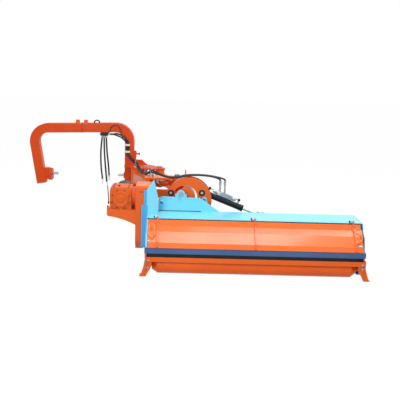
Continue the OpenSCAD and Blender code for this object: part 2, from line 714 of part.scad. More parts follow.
module knuckle() lay(orange) difference() {
    union() {
        knuckle_plate(top_plate_z);
        knuckle_plate(low_plate_z);
        along_y(web_y, web_y + 15) difference() {
            translate([left_1.x - 55, low_plate_z]) square([link_gap + 110, top_plate_z + plate_t - low_plate_z]);
            translate([left_1.x - 10, web_open_z]) square([link_gap - 5, top_plate_z - web_open_z]);
        }
        along_y(nose_rear_y, web_y) intersection() {
            dot(nose_mid, nose_r);
            translate([nose_mid.x - nose_r, nose_low_z]) square([2 * nose_r, 2 * nose_r]);
        }
        along_y(head_y + head_t + 2, head_y + head_t + head_gap - 2) {
            dot(float_pin_at, foot_r);
            segment(float_pin_at, nose_mid, foot_r * 1.4);
        }
    }
    rod_y(float_pin_at, head_pin_d, head_y, head_front_y);
}
module knuckle_pins() lay(steel) {
    capped_pin(left_1, link_pin_d, link_pin_d + 14);
    capped_pin(right_1, link_pin_d, link_pin_d + 14);
}
module washer_pin(p, y0, y1) {
    rod_y(p, head_pin_d, y0 - 6, y1 + 6);
    rod_y(p, head_pin_d + 18, y0 - 6, y0 - face_gap);
    rod_y(p, head_pin_d + 18, y1 + face_gap, y1 + 6);
}
module float_pin() lay(steel) washer_pin(float_pin_at, head_y, head_front_y);

module ram_barrel(d, bore, length, eye_d, eye_t, rod) difference() {
    union() {
        rotate([90, 0, 0]) cylinder(d = eye_d + 30, h = eye_t, center = true);
        rotate([0, 90, 0]) cylinder(d = d, h = length);
        translate([length, 0, 0]) rotate([0, 90, 0]) cylinder(d = d + 6, h = gland_t);
    }
    for (y = [eye_t / 2, -eye_t / 2 - d]) translate([-d, y, -d]) cube([d + eye_d / 2 + 16, d, 2 * d]);
    rotate([90, 0, 0]) cylinder(d = eye_d + 2 * run_gap, h = 2 * d, center = true);
    translate([eye_d / 2 + 22, 0, 0]) rotate([0, 90, 0]) cylinder(d = bore, h = length - eye_d / 2 - 22);
    translate([length - 1, 0, 0]) rotate([0, 90, 0]) cylinder(d = rod + 2 * run_gap, h = gland_t + 2);
}
module ram_rod(d, bore, piston_at, length, pin_d, clevis) {
    fork_r = pin_d / 2 + 10;
    inner = ear_t / 2 + 1;
    translate([piston_at, 0, 0]) rotate([0, 90, 0]) cylinder(d = bore - 2 * run_gap, h = 25);
    translate([piston_at, 0, 0]) rotate([0, 90, 0]) cylinder(d = d, h = length - clevis - piston_at + 1);
    translate([length - clevis, 0, 0]) rotate([0, 90, 0]) cylinder(d = 2 * (inner + fork_t), h = 12);
    for (s = [-1, 1]) translate([0, s * (inner + fork_t / 2), 0]) rotate([90, 0, 0]) {
        translate([length, 0, 0]) cylinder(r = fork_r, h = fork_t, center = true);
        translate([length - clevis, -fork_r, -fork_t / 2]) cube([clevis, 2 * fork_r, fork_t]);
    }
    translate([length, 0, 0]) rotate([90, 0, 0]) cylinder(d = pin_d, h = 2 * (inner + fork_t) + 8, center = true);
}
module at_shift() translate([shift_0.x, shift_0.y, shift_z]) rotate([90, 0, shift_angle]) children();
module shift_barrel() lay(black) at_shift()
    ram_barrel(shift_d, shift_d - 16, shift_barrel_len, shift_pin_d, 46, shift_rod_d);
module shift_rod() lay(steel) at_shift()
    ram_rod(shift_rod_d, shift_d - 16, shift_barrel_len - 75, shift_len, shift_pin_d, shift_clevis_len);

// Tilt head and its cylinder

module crescent() difference() {
    union() {
        intersection() {
            dot(head_mid, head_r);
            union() {
                translate([head_mid.x - head_r, float_z]) square(2 * head_r);
                translate([nose_mid.x, head_low_z]) square(2 * head_r);
            }
        }
        dot(float_pin_at, foot_r);
    }
    dot(nose_mid, nose_r + nose_gap);
    translate([nose_mid.x - nose_r - nose_gap, head_low_z - 1])
        square([2 * (nose_r + nose_gap), nose_mid.y - head_low_z + 1]);
}
module tilt_head() lay(orange) difference() {
    union() {
        for (y = [head_y, head_y + head_t + head_gap]) along_y(y, y + head_t) crescent();
        along_y(head_y + head_t, head_y + head_t + head_gap) translate(head_mid) difference() {
            intersection() {
                circle(head_r);
                sector(2 * head_r, rim_from, rim_to);
            }
            circle(head_r - rim_t);
        }
        along_y(head_y + head_t - 1, head_y + head_t + head_gap + 1) translate(nose_mid) difference() {
            intersection() {
                circle(nose_r + nose_gap + lip_t);
                sector(2 * head_r, lip_from, lip_to);
            }
            circle(nose_r + nose_gap);
        }
        rod_z([guide_x, head_mid_y], 12, head_mid.y + head_r - 20, head_mid.y + head_r + guide_h);
    }
    rod_y(float_pin_at, head_pin_d + 2 * run_gap, head_y - 1, head_front_y + 1);
    rod_y(ram_pin_at, head_pin_d, head_y - 1, head_front_y + 1);
    rod_y(hinge_at, head_pin_d, head_y - 1, head_front_y + 1);
}
module cylinder_pin() lay(steel) washer_pin(ram_pin_at, head_y, head_front_y);
module tilt_hinge_pins() lay(steel) {
    rod_y(hinge_at, head_pin_d, head_y - lug_gap - lug_pin_t - 2, head_y + head_t);
    rod_y(hinge_at, head_pin_d, head_front_y - head_t, head_front_y + lug_gap + lug_pin_t + 2);
}
module at_ram() translate([ram_x, head_mid_y, ram_z]) rotate([0, cylinder_angle, 0]) children();
module tilt_barrel() lay(black) at_ram() ram_barrel(barrel_d, bore_d, barrel_len, head_pin_d, barrel_d, rod_d);
module tilt_rod() lay(steel) at_ram()
    ram_rod(rod_d, bore_d, barrel_len - 190, cylinder_len, head_pin_d, clevis_len);
module valve_block() at_ram() translate([valve_from, -valve_d / 2, valve_low])
    cube([valve_len, valve_d, valve_h]);
module lock_valve() lay(steel) valve_block();
module banjo(x) {
    translate([x, 0, barrel_d / 2]) cylinder(d = 18, h = banjo_z - barrel_d / 2);
    translate([x, 0, banjo_z]) rotate([90, 0, 0]) cylinder(d = 26, h = 18, center = true);
}
module cylinder_fittings() lay(steel) difference() {
    union() {
        at_ram() pipes();
        for (x = elbow_xs) elbow(x);
    }
    valve_block();
    at_ram() translate([0, -60, -200]) cube([barrel_len, 120, 200 + barrel_d / 2]);
}
module pipes() {
    banjo(banjo_from);
    banjo(barrel_len - 49);
    translate([banjo_from + 12, 0, banjo_z]) rotate([0, 90, 0])
        cylinder(d = pipe_d, h = valve_from - banjo_from - 12);
    translate([valve_from + valve_len, 0, banjo_z]) rotate([0, 90, 0])
        cylinder(d = pipe_d, h = barrel_len - 61 - valve_from - valve_len);
}
module elbow(x) {
    rod_z([x, head_mid_y], 16, ram_z - 40, elbow_top_z);
    translate([x, head_mid_y, elbow_top_z - 22]) cylinder(d = 21, h = 22, $fn = 6);
}
module tilt_hoses() lay(black) hose_pair(tilt_route, tilt_spread);

// Deck

module under_deck() {
    strip(shell_line, sheet_t);
    polygon(concat(shell_line, [[front_lip.x, 0], [hood_hinge_y, 0]]));
}
module deck_volume() along_x(deck_left - 1, deck_right + 1) under_deck();
module hinge_block(x) difference() {
    along_x(x, x + block_t) {
        dot(hood_hinge, hinge_r);
        translate([hood_hinge.x, top_z]) square([hinge_r + 12, hood_hinge_rise]);
        translate([hood_hinge.x, hood_hinge.y]) square([hinge_r, 1]);
    }
    deck_volume();
}
module deck_shell() lay(blue) {
    along_x(inner_left, inner_right) strip(shell_line, sheet_t);
    for (x = hinge_xs) {
        hinge_block(x);
        rod_x(hood_hinge, hood_pin_d, x, x + block_t + face_gap + rib_t + 6);
    }
}
module skid_solid() for (x = [deck_left - skid_out, deck_right + skid_out - skid_w]) along_x(x, x + skid_w)
    strip(skid_line, skid_t);
module side_shape() polygon([[-240, skid_t], [-240, 100], [beam_rear_y + beam_side + 1, 150],
    [beam_rear_y + beam_side + 1, beam_top_z + 2], [-325, top_z - 104], [-262, top_z - 54],
    [hood_hinge_y - 7, top_z + sheet_t / 2], [front_y, top_z + sheet_t / 2], [front_y + 98, top_z - 82],
    [330, 270], [400, 120], [400, 69], [330, skid_t]]);
module side_plate(x) difference() {
    along_x(x, x + side_t) side_shape();
    rod_x([rotor_y, rotor_z], rotor_stub_d + 6, x - 1, x + side_t + 1);
    skid_solid();
}
module left_side_plate() lay(blue) {
    side_plate(deck_left);
    along_y(flange_y, flange_y + 8) {
        translate([deck_left - 51, 173]) square([51 + side_t, flange_top_z - 173]);
        translate([deck_left - 30, flange_top_z]) square([28, 143]);
    }
}
module right_side_plate() lay(blue) side_plate(inner_right);
module rear_beam() lay(dark_blue) difference() {
    low = beam_top_z - beam_side;
    along_x(deck_left, deck_right) translate([beam_rear_y, low]) square(beam_side);
    along_x(deck_left - 1, deck_right + 1) translate([beam_rear_y + 4, low + 4]) square(beam_side - 8);
}
module plinth_shape() {
    base = top_z + sheet_t / 2;
    polygon([[-411, base], [-411, plinth_top - 12], [-372, plinth_top + 4], [-9, plinth_top - 4], [185, base]]);
    translate([transport_at.x - 54, plinth_top - 20]) square([108, transport_at.y - plinth_top + 20]);
    dot(transport_at, 40);
}
module hinge_lug() {
    dot(hinge_at, head_pin_d / 2 + 11);
    polygon([[hinge_x - 26, hinge_z], [hinge_x + 26, hinge_z], [hinge_x + 60, platform_z],
        [hinge_x - 60, platform_z]]);
}
module pivot_plinth() lay(blue) difference() {
    lug_rear = head_y - lug_gap - lug_pin_t;
    lug_front = head_front_y + lug_gap;
    union() {
        along_y(plinth_y, plinth_y + plinth_t) plinth_shape();
        rod_y(stub_at, 46, plinth_y - stub_len, plinth_y + 1);
        translate([platform_x, plinth_y, platform_z - 10])
            cube([platform_w, lug_front + lug_pin_t - plinth_y, 10]);
        for (x = [platform_x, platform_x + platform_w - 12]) along_x(x, x + 12)
            polygon([[plinth_y, platform_z - 10], [lug_front + lug_pin_t, platform_z - 10],
                [lug_front + lug_pin_t, platform_z - 40], [front_lip.x, front_lip.y + 40],
                [plinth_y, top_z - 50]]);
        for (y = [lug_rear, lug_front]) along_y(y, y + lug_pin_t) hinge_lug();
        along_y(head_mid_y - ear_t / 2, head_mid_y + ear_t / 2) {
            dot(rod_pin_at, head_pin_d / 2 + tilt_open_gap + 14);
            translate([rod_pin_x - 45, front_lip.y + 5]) square([90, rod_pin_z - front_lip.y - 5]);
        }
        along_x(rod_pin_x - 10, rod_pin_x + 10) polygon([[front_y + 30, top_z - 100], [front_y + 30, top_z - 10],
            [head_mid_y - ear_t / 2, rod_pin_z - 75], [head_mid_y - ear_t / 2, front_lip.y + 20]]);
        along_y(flange_y, flange_y + 8) polygon([[deck_left + side_t, top_z + sheet_t / 2],
            [deck_left + side_t, flange_top_z], [deck_left - 2, flange_top_z], [deck_left - 2, top_z + 243],
            [deck_left + 63, top_z + 339], [deck_left + 101, top_z + 180],
            [deck_left + 105, top_z + sheet_t / 2]]);
    }
    deck_volume();
    for (y = [lug_rear, lug_front]) rod_y(hinge_at, head_pin_d + 2 * run_gap, y - 1, y + lug_pin_t + 1);
    rod_y(rod_pin_at, head_pin_d + 2 * tilt_open_gap, head_mid_y - ear_t, head_mid_y + ear_t);
    rod_y(transport_at, transport_d, plinth_y - 1, plinth_y + plinth_t + 1);
    rod_y(stub_at, 30, plinth_y - stub_len - 1, plinth_y + 4);
}
module transport_pin() lay(steel) {
    rod_y(transport_at, transport_d, plinth_y - 26, plinth_y + plinth_t + 20);
    rod_y(transport_at, transport_d + 22, plinth_y - 12, plinth_y);
}
module skids() lay(blue) skid_solid();
module roller_bracket(x) difference() {
    along_x(x, x + bracket_t) {
        dot([roller_y, roller_r], bearing_r);
        polygon([[bar_rear_y + 4, beam_top_z - beam_side - 12], [bar_rear_y + 4, 66], [bar_rear_y + 16, 54],
            [bar_rear_y + 81, 54], [roller_y, roller_r], [roller_y + bearing_r, roller_r],
            [roller_y + bearing_r, beam_top_z - beam_side], [beam_rear_y, beam_top_z - beam_side],
            [beam_rear_y, beam_top_z - beam_side - 12]]);
    }
    rod_x([roller_y, roller_r], roller_stub_d + 2 * run_gap, x - 1, x + bracket_t + 1);
}
module broad_foot(edge, side) along_y(bar_rear_y + bar_t, bar_rear_y + bar_t + foot_t)
    polygon([[edge + side * 20, bar_low_z + 22], [edge + side * 67, bar_low_z + 22],
        [edge + side * 70, bar_low_z - 39], [edge + side * 16, 1], [edge - side * 35, 1]]);
module roller_brackets() lay(orange) {
    broad_foot(deck_left, 1);
    broad_foot(deck_right, -1);
    roller_bracket(inner_left);
    roller_bracket(inner_right - bracket_t);
    along_y(bar_rear_y + 16, bar_rear_y + 16 + foot_len) {
        strip([[inner_left + bracket_t / 2, 62], [deck_left - 6, foot_z], [deck_left - foot_flare, foot_z]],
            foot_t);
        strip([[inner_right - bracket_t / 2, 62], [deck_right + 6, foot_z], [deck_right + foot_flare, foot_z]],
            foot_t);
    }
}
module bracket_bolts() lay(steel) {
    for (x = [inner_left + 34, inner_right - 34])
        hex_y([x, bar_low_z + bar_h / 2], 24, bar_rear_y - bolt_h, bar_rear_y);
    for (at = [[deck_left + 33, 90], [deck_right - 33, 120]])
        hex_y(at, 24, bar_rear_y + bar_t - bolt_h, bar_rear_y + bar_t);
}
module scraper_bar() lay(orange) translate([inner_left + bracket_t, bar_rear_y, bar_low_z])
    cube([inner_right - inner_left - 2 * bracket_t, bar_t, bar_h]);
module rubber_flap() lay(black) translate([inner_left + bracket_t, beam_rear_y + 8, beam_top_z - beam_side - 45])
    cube([inner_right - inner_left - 2 * bracket_t, 6, 45]);
module flap_rod() lay(steel) rod_x(rod_flap, flap_rod_d, inner_left, inner_right);
module front_flaps() lay(black) {
    pitch = (inner_right - inner_left) / flap_count;
    for (i = [0 : flap_count - 1]) translate([inner_left + i * pitch, 0, 0])
        along_x(flap_gap / 2, pitch - flap_gap / 2) difference() {
            union() {
                dot(rod_flap, flap_rod_d / 2 + 4);
                translate([rod_flap.x - 3, flap_low_z]) square([6, rod_flap.y - flap_low_z]);
            }
            dot(rod_flap, flap_rod_d / 2 + run_gap);
        }
}

// Drive

module belt_outline(r1, r2) {
    reach = norm([rotor_y - gear_y, rotor_z - gear_z]);
    base = atan2(rotor_z - gear_z, rotor_y - gear_y);
    wrap = acos((r1 - r2) / reach);
    polygon(concat(arc([gear_y, gear_z], r1, base + wrap, base + 360 - wrap),
        arc([rotor_y, rotor_z], r2, base - wrap, base + wrap)));
}
module drive_belt() lay(black) difference() {
    along_x(pulley_x + 3, pulley_x + pulley_w - 3)
        belt_outline(drive_pulley_r + belt_gap + belt_t, rotor_pulley_r + belt_gap + belt_t);
    along_x(pulley_x, pulley_x + pulley_w) belt_outline(drive_pulley_r + belt_gap, rotor_pulley_r + belt_gap);
}
module belt_cover() lay(orange) difference() {
    union() {
        along_x(belt_left, belt_right) polygon(grown(cover_line, cover_t / 2));
        along_x(belt_right - 1, cover_wide_x) polygon(grown(cover_head, cover_t / 2));
    }
    along_x(belt_left + cover_t, belt_right - cover_t) polygon(grown(cover_line, -cover_t / 2));
    along_x(belt_right - cover_t - 1, cover_wide_x - cover_t) polygon(grown(cover_head, -cover_t / 2));
    rod_x([gear_y, gear_z], output_d + 8, belt_left - 1, belt_left + cover_t + 1);
    rod_x([rotor_y, rotor_z], rotor_stub_d + 8, belt_right - cover_t - 1, belt_right + 1);
}
module rotor_bearing(x0, x1) difference() {
    rod_x([rotor_y, rotor_z], rotor_stub_d + 60, x0, x1);
    rod_x([rotor_y, rotor_z], rotor_stub_d + 2 * run_gap, x0 - 1, x1 + 1);
}
module rotor_bearings() lay(steel) {
    rotor_bearing(belt_right, deck_left);
    rotor_bearing(deck_right, deck_right + 28);
}
module gearbox_bracket() lay(orange) {
    plate_y = cover_rear_y - cover_t / 2;
    along_y(plate_y, plate_y + 10) difference() {
        polygon([[gear_x - 128, gear_low + 43], [gear_x - 107, gear_low + 35], [gear_x - 90, gear_low + 8],
            [belt_left, gear_low], [belt_left, gear_low - 140], [gear_x + 105, gear_low - 123],
            [gear_x + 35, gear_low - 95], [gear_x - 45, gear_low - 73], [gear_x - 115, gear_low - 62],
            [gear_x - 128, gear_low - 50]]);
        translate([gear_x - 98, gear_low - 14]) square([30, 12]);
    }
    translate([gear_left, plate_y + 5, gear_low - 12])
        cube([belt_left - gear_left - 3, gear_front - plate_y - 5, 12]);
}
module gearbox_housing() lay(orange) difference() {
    union() {
        translate([gear_left, gear_rear, gear_low]) cube([gear_w, gear_d, gear_h]);
        rod_x([gear_y, gear_z], gear_h - 14, gear_left + gear_w - 1, belt_left);
    }
    translate([gear_left + gear_wall, gear_rear + gear_wall, gear_low + gear_wall])
        cube([gear_w - 2 * gear_wall, gear_d - 2 * gear_wall, gear_h - 2 * gear_wall]);
    rod_y([gear_x, gear_z], 2 * cover_hole_r, gear_rear - 1, gear_rear + gear_wall + 1);
    rod_y([gear_x, gear_z], pto_d + 2 * run_gap, gear_front - gear_wall - 1, gear_front + 1);
    rod_x([gear_y, gear_z], output_d + 2 * run_gap, gear_x, belt_left + 1);
}
module gearbox_cover() lay(orange) {
    rod_y([gear_x, gear_z], 2 * gear_cover_r, gear_rear - 12, gear_rear);
    rod_y([gear_x, gear_z], 2 * (gear_cover_r - 22), gear_rear - 20, gear_rear - 12);
}
module gearbox_bolts() lay(steel) for (i = [0 : 7])
    hex_y([gear_x, gear_z] + (gear_cover_r - 10) * [cos(45 * i + 22), sin(45 * i + 22)], 15,
        gear_rear - 20, gear_rear - 12);
module pto_guard() lay(black) translate([gear_x, gear_front, gear_z]) rotate([-90, 0, 0]) rotate_extrude()
    polygon([[pto_d / 2 + 12, 0], [guard_r - 30, 0], [guard_r - 30, 40], [guard_r - 8, 90], [guard_r, guard_len],
        [guard_r - 5, guard_len], [guard_r - 13, 90], [guard_r - 35, 42], [guard_r - 35, 5],
        [pto_d / 2 + 12, 5]]);
module drive_pulley() lay(steel) {
    centre_x = gear_x;
    rod_x([gear_y, gear_z], output_d, centre_x + input_pitch_r + 14, pulley_x + pulley_w + 6);
    rod_x([gear_y, gear_z], 2 * drive_pulley_r, pulley_x, pulley_x + pulley_w);
    translate([centre_x + mesh_gap, gear_y, gear_z]) rotate([0, 90, 0]) rotate_extrude()
        polygon([[0, 36], [36 * pinion_pitch_r / input_pitch_r, 36], [pinion_pitch_r, input_pitch_r],
            [pinion_pitch_r - 6, input_pitch_r + 16], [0, input_pitch_r + 16]]);
}
module pto_shaft() lay(steel) {
    rod_y([gear_x, gear_z], pto_d, gear_y + pinion_pitch_r + 6, gear_front + pto_len);
    translate([gear_x, gear_y + mesh_gap, gear_z]) rotate([-90, 0, 0]) rotate_extrude()
        polygon([[0, 14], [14 * input_pitch_r / pinion_pitch_r, 14], [input_pitch_r, pinion_pitch_r],
            [input_pitch_r - 20, pinion_pitch_r + 14], [0, pinion_pitch_r + 14]]);
}

// Rotor and roller

module rotor() lay("#3b3d40") difference() {
    axis = [rotor_y, rotor_z];
    tube_left = inner_left + rotor_end_gap;
    tube_right = inner_right - rotor_end_gap;
    union() {
        rod_x(axis, rotor_d, tube_left, tube_right);
        rod_x(axis, rotor_stub_d, pulley_x, deck_right + 34);
        rod_x(axis, 2 * rotor_pulley_r, pulley_x, pulley_x + pulley_w);
    }
    difference() {
        rod_x(axis, rotor_d - 24, tube_left + 20, tube_right - 20);
        rod_x(axis, rotor_stub_d, tube_left, tube_left + 60);
        rod_x(axis, rotor_stub_d, tube_right - 60, tube_right);
    }
}
module flail(x, a) translate([x, rotor_y, rotor_z]) rotate([a, 0, 0]) {
    foot = rotor_d / 2;
    translate([-10, -12, foot - 4]) cube([20, 24, 30]);
    translate([-24, 0, foot + 16]) rotate([0, 90, 0]) cylinder(d = 14, h = 48);
    for (s = [-1, 1]) translate([s * 15, 0, foot + 8]) rotate([0, s * flail_splay, 0]) translate([-4, -18, 0])
        cube([8, 36, (flail_reach - foot - 12) / cos(flail_splay)]);
}
module flails() lay("#4a4340") difference() {
    pitch = (inner_right - inner_left - 2 * rotor_end_gap - 100) / (flails_per_row - 0.25);
    for (row = [0 : 3]) for (i = [0 : flails_per_row - 1])
        flail(inner_left + rotor_end_gap + 50 + (i + row / 4) * pitch, row * 90 + 45);
    rod_x([rotor_y, rotor_z], rotor_d, inner_left, inner_right);
}
module roller() lay(orange) difference() {
    axis = [roller_y, roller_r];
    left = deck_left + roller_inset;
    right = deck_right - roller_inset;
    union() {
        rod_x(axis, 2 * roller_r, left, right);
        translate([left - roller_cone, roller_y, roller_r]) rotate([0, 90, 0])
            cylinder(r1 = roller_end_r, r2 = roller_r, h = roller_cone);
        translate([right, roller_y, roller_r]) rotate([0, 90, 0])
            cylinder(r1 = roller_r, r2 = roller_end_r, h = roller_cone);
        rod_x(axis, roller_stub_d, inner_left, inner_right);
    }
    rod_x(axis, 2 * (roller_r - roller_wall), left, right);
}

// Hood

module hood_ring(x) along_x(x, x + rib_t) difference() {
    union() {
        dot(hood_hinge, hinge_r);
        segment(hood_hinge, hood_line[0], 12);
    }
    dot(hood_hinge, hood_pin_d / 2 + run_gap);
}
module hood_rib(x) along_x(x, x + rib_t) difference() {
    strip(hood_line, hood_t + 2 * rib_h);
    polygon(concat(hood_line, [[hood_line[4].x, 0], [0, 0], [0, top_z + 40], [hood_hinge.x, top_z + 40]]));
    translate([hood_hinge.x - 30, hood_line[0].y - 20]) square(120);
}
module hood() lay(orange) {
    along_x(hood_left, hood_right) strip(hood_line, hood_t);
    for (x = rib_xs) hood_rib(x - rib_t / 2);
    for (x = hinge_xs) hood_ring(x + block_t + face_gap);
}
module grab_loop(w, l, d) {
    for (s = [-1, 1]) translate([s * w / 2, 0, 0]) rotate([90, 0, 0]) cylinder(d = d, h = l, center = true);
    for (s = [-1, 1]) translate([0, s * l / 2, 0]) rotate([0, 0, s > 0 ? 0 : 180])
        rotate_extrude(angle = 180) translate([w / 2, 0]) circle(d = d);
}
module on_hood(x) translate([x, hood_line[2].x - loop_off * 0.707, hood_line[2].y + loop_off * 0.707])
    rotate([45, 0, 0]) children();
module hood_fittings() lay(orange) difference() {
    loops();
    along_x(hood_left - 60, hood_right + 60) strip(hood_line, hood_t);
    for (x = rib_xs) hood_rib(x - rib_t / 2);
}
module loops() {
    on_hood(hood_left + 38) grab_loop(loop_w, loop_len, loop_d);
    on_hood(hood_right - 38) grab_loop(loop_w + 8, loop_len, loop_d);
    for (x = [hood_left + 38, hood_right - 38]) on_hood(x) for (s = [-1, 1])
        translate([s * loop_w / 2, 0, -loop_off]) cylinder(d = loop_d, h = loop_off);
}

hitch_arch();
top_link_lugs();
lower_link_brackets();
lower_link_pins();
pivot_bracket();
link_pins();
stop_bolt();
hose_clamps();
hose_hanger();
leg_hoses();
hanging_hose_1();
hanging_hose_2();
hanging_hose_3();
hanging_cable();
quick_couplers();
cable_plug();
left_link();
arm_hoses();
right_link();
knuckle();
knuckle_pins();
float_pin();
tilt_hoses();
shift_barrel();
shift_rod();
tilt_head();
cylinder_pin();
tilt_hinge_pins();
tilt_barrel();
lock_valve();
cylinder_fittings();
tilt_rod();
deck_shell();
left_side_plate();
right_side_plate();
rear_beam();
pivot_plinth();
transport_pin();
belt_cover();
gearbox_bracket();
gearbox_housing();
gearbox_cover();
gearbox_bolts();
pto_guard();
drive_belt();
rotor_bearings();
roller_brackets();
bracket_bolts();
scraper_bar();
skids();
rubber_flap();
flap_rod();
rotor();
flails();
drive_pulley();
pto_shaft();
roller();
hood();
hood_fittings();
front_flaps();
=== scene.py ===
import bpy
import json
import numpy as np
from mathutils import Matrix

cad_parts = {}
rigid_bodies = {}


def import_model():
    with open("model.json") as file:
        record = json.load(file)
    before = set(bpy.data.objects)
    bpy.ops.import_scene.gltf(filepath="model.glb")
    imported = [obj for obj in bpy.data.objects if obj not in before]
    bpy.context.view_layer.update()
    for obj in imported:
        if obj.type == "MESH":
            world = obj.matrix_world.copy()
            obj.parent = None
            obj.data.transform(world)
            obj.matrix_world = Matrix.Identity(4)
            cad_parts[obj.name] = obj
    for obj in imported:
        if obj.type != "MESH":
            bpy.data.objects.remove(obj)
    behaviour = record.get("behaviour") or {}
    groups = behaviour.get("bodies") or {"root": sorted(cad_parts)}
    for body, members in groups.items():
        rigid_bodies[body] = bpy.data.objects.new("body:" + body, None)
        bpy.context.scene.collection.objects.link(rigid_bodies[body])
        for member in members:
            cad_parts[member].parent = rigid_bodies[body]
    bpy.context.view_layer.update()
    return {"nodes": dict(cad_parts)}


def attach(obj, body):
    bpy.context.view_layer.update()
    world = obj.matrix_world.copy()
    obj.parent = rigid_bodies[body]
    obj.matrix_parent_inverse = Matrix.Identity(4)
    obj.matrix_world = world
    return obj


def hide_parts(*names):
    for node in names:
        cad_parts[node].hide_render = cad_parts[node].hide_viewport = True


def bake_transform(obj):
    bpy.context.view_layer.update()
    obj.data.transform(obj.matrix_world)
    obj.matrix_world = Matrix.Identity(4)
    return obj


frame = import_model()
print("frame loaded,", len(frame["nodes"]), "solids")

boxCentre = np.array([-165.7755, 429.0, 0.0])  # layout point that lies at the origin, mm


def lay(points):  # layout millimetres to metres in the frame
    return (np.asarray(points, float) - boxCentre) / 1000


def unit(v):
    return v / np.linalg.norm(v, axis=-1, keepdims=True)


def standAt(thing, right, up, back, at):  # places a camera or lamp, which looks away from back
    turn = np.eye(4)
    turn[:3, :3] = np.stack([right, up, back], 1)
    turn[:3, 3] = at
    thing.matrix_world = Matrix(turn.tolist())


# camera: place in layout millimetres, turns in degrees, focal length in pixels of the image
viewpoint = dict(at=(-202.1, -6248.5, 1878.8), yaw=1.719, pitch=11.354, roll=-1.904, focal=674.6,
                 imageWidth=400, sensor=36.0, farthest=100.0)


def aimCamera(v):
    yaw, pitch, roll = np.radians([v["yaw"], v["pitch"], v["roll"]])
    ahead = np.array([np.sin(yaw) * np.cos(pitch), np.cos(yaw) * np.cos(pitch), -np.sin(pitch)])
    level = np.array([np.cos(yaw), -np.sin(yaw), 0])
    below = np.cross(ahead, level)
    right = np.cos(roll) * level + np.sin(roll) * below
    down = np.cos(roll) * below - np.sin(roll) * level
    data = bpy.data.cameras.new("photoCamera")
    data.sensor_fit = "HORIZONTAL"
    data.sensor_width = v["sensor"]
    data.lens = v["sensor"] * v["focal"] / v["imageWidth"]
    data.clip_end = v["farthest"]
    camera = bpy.data.objects.new("photoCamera", data)
    bpy.context.scene.collection.objects.link(camera)
    standAt(camera, right, -down, -ahead, lay(v["at"]))
    bpy.context.scene.camera = camera


aimCamera(viewpoint)
bpy.context.scene.view_settings.view_transform = "Standard"
print("camera set")


# shader parts
def wire(tree, kind, inputs=None, **settings):  # a node with its settings and its inputs, linked or plain
    made = tree.nodes.new(kind)
    for key, value in settings.items():
        setattr(made, key, value)
    for key, value in (inputs or {}).items():
        if isinstance(value, bpy.types.NodeSocket):
            tree.links.new(value, made.inputs[key])
        else:
            made.inputs[key].default_value = value
    return made


def maths(tree, job, a, b, clamp=False):
    return wire(tree, "ShaderNodeMath", {0: a, 1: b}, operation=job, use_clamp=clamp).outputs[0]


def spread(tree, value, low, high, toLow=0.0, toHigh=1.0):
    limits = {0: value, 1: low, 2: high, 3: toLow, 4: toHigh}
    return wire(tree, "ShaderNodeMapRange", limits, clamp=True).outputs[0]


def tint(tree, amount, a, b):
    return wire(tree, "ShaderNodeMix", {0: amount, 6: a, 7: b}, data_type="RGBA").outputs[2]


def noise(tree, vector, scale, detail):
    return wire(tree, "ShaderNodeTexNoise", {"Vector": vector, "Scale": scale, "Detail": detail}).outputs[0]


def ownPlace(tree):
    return wire(tree, "ShaderNodeTexCoord").outputs["Object"]


def faceNormal(tree):
    return wire(tree, "ShaderNodeNewGeometry").outputs["Normal"]


def colour(text):  # screen colour as six hex digits to linear light
    value = np.array([int(text[i:i + 2], 16) for i in (0, 2, 4)]) / 255
    linear = np.where(value < 0.04045, value / 12.92, ((value + 0.055) / 1.055) ** 2.4)
    return (*linear.tolist(), 1)


def newGroup(name, inputs, outputs):
    tree = bpy.data.node_groups.new(name, "ShaderNodeTree")
    for label in inputs:
        tree.interface.new_socket(label, in_out="INPUT", socket_type="NodeSocketFloat")
    for label in outputs:
        tree.interface.new_socket(label, in_out="OUTPUT", socket_type="NodeSocketFloat")
    given, out = tree.nodes.new("NodeGroupInput"), tree.nodes.new("NodeGroupOutput")
    return tree, given.outputs, out.inputs


wearLook = dict(samples=4, scale=38.0, detail=4.0, bend=(0.02, 0.22), patch=(0.46, 0.62))
mottleLook = dict(cloudDetail=5.0, peelDetail=2.0, cloud=(0.3, 0.7))
dustLook = dict(detail=6.0, facing=(0.25, 0.95), patch=(0.35, 0.7))
dragLook = dict(scale=1.0, detail=3.0, streak=(0.35, 0.65))


def buildEdgeWear(look):  # 1 where the rounded normal leaves the flat one, broken up by noise
    tree, given, out = newGroup("edgeWear", ["Width", "Amount"], ["Mask"])
    bent = wire(tree, "ShaderNodeBevel", {"Radius": given["Width"]}, samples=look["samples"]).outputs[0]
    same = wire(tree, "ShaderNodeVectorMath", {0: bent, 1: faceNormal(tree)}, operation="DOT_PRODUCT")
    patchy = noise(tree, ownPlace(tree), look["scale"], look["detail"])
    corner = spread(tree, maths(tree, "SUBTRACT", 1.0, same.outputs["Value"]), *look["bend"])
    worn = maths(tree, "MULTIPLY", corner, spread(tree, patchy, *look["patch"]))
    tree.links.new(maths(tree, "MULTIPLY", worn, given["Amount"], True), out["Mask"])
    return tree


def buildMottle(look):  # slow cloudiness of a sprayed coat, and its fine orange-peel height
    tree, given, out = newGroup("coatMottle", ["Scale", "Fine"], ["Cloud", "Peel"])
    where = ownPlace(tree)
    cloud = noise(tree, where, given["Scale"], look["cloudDetail"])
    tree.links.new(spread(tree, cloud, *look["cloud"]), out["Cloud"])
    tree.links.new(noise(tree, where, given["Fine"], look["peelDetail"]), out["Peel"])
    return tree


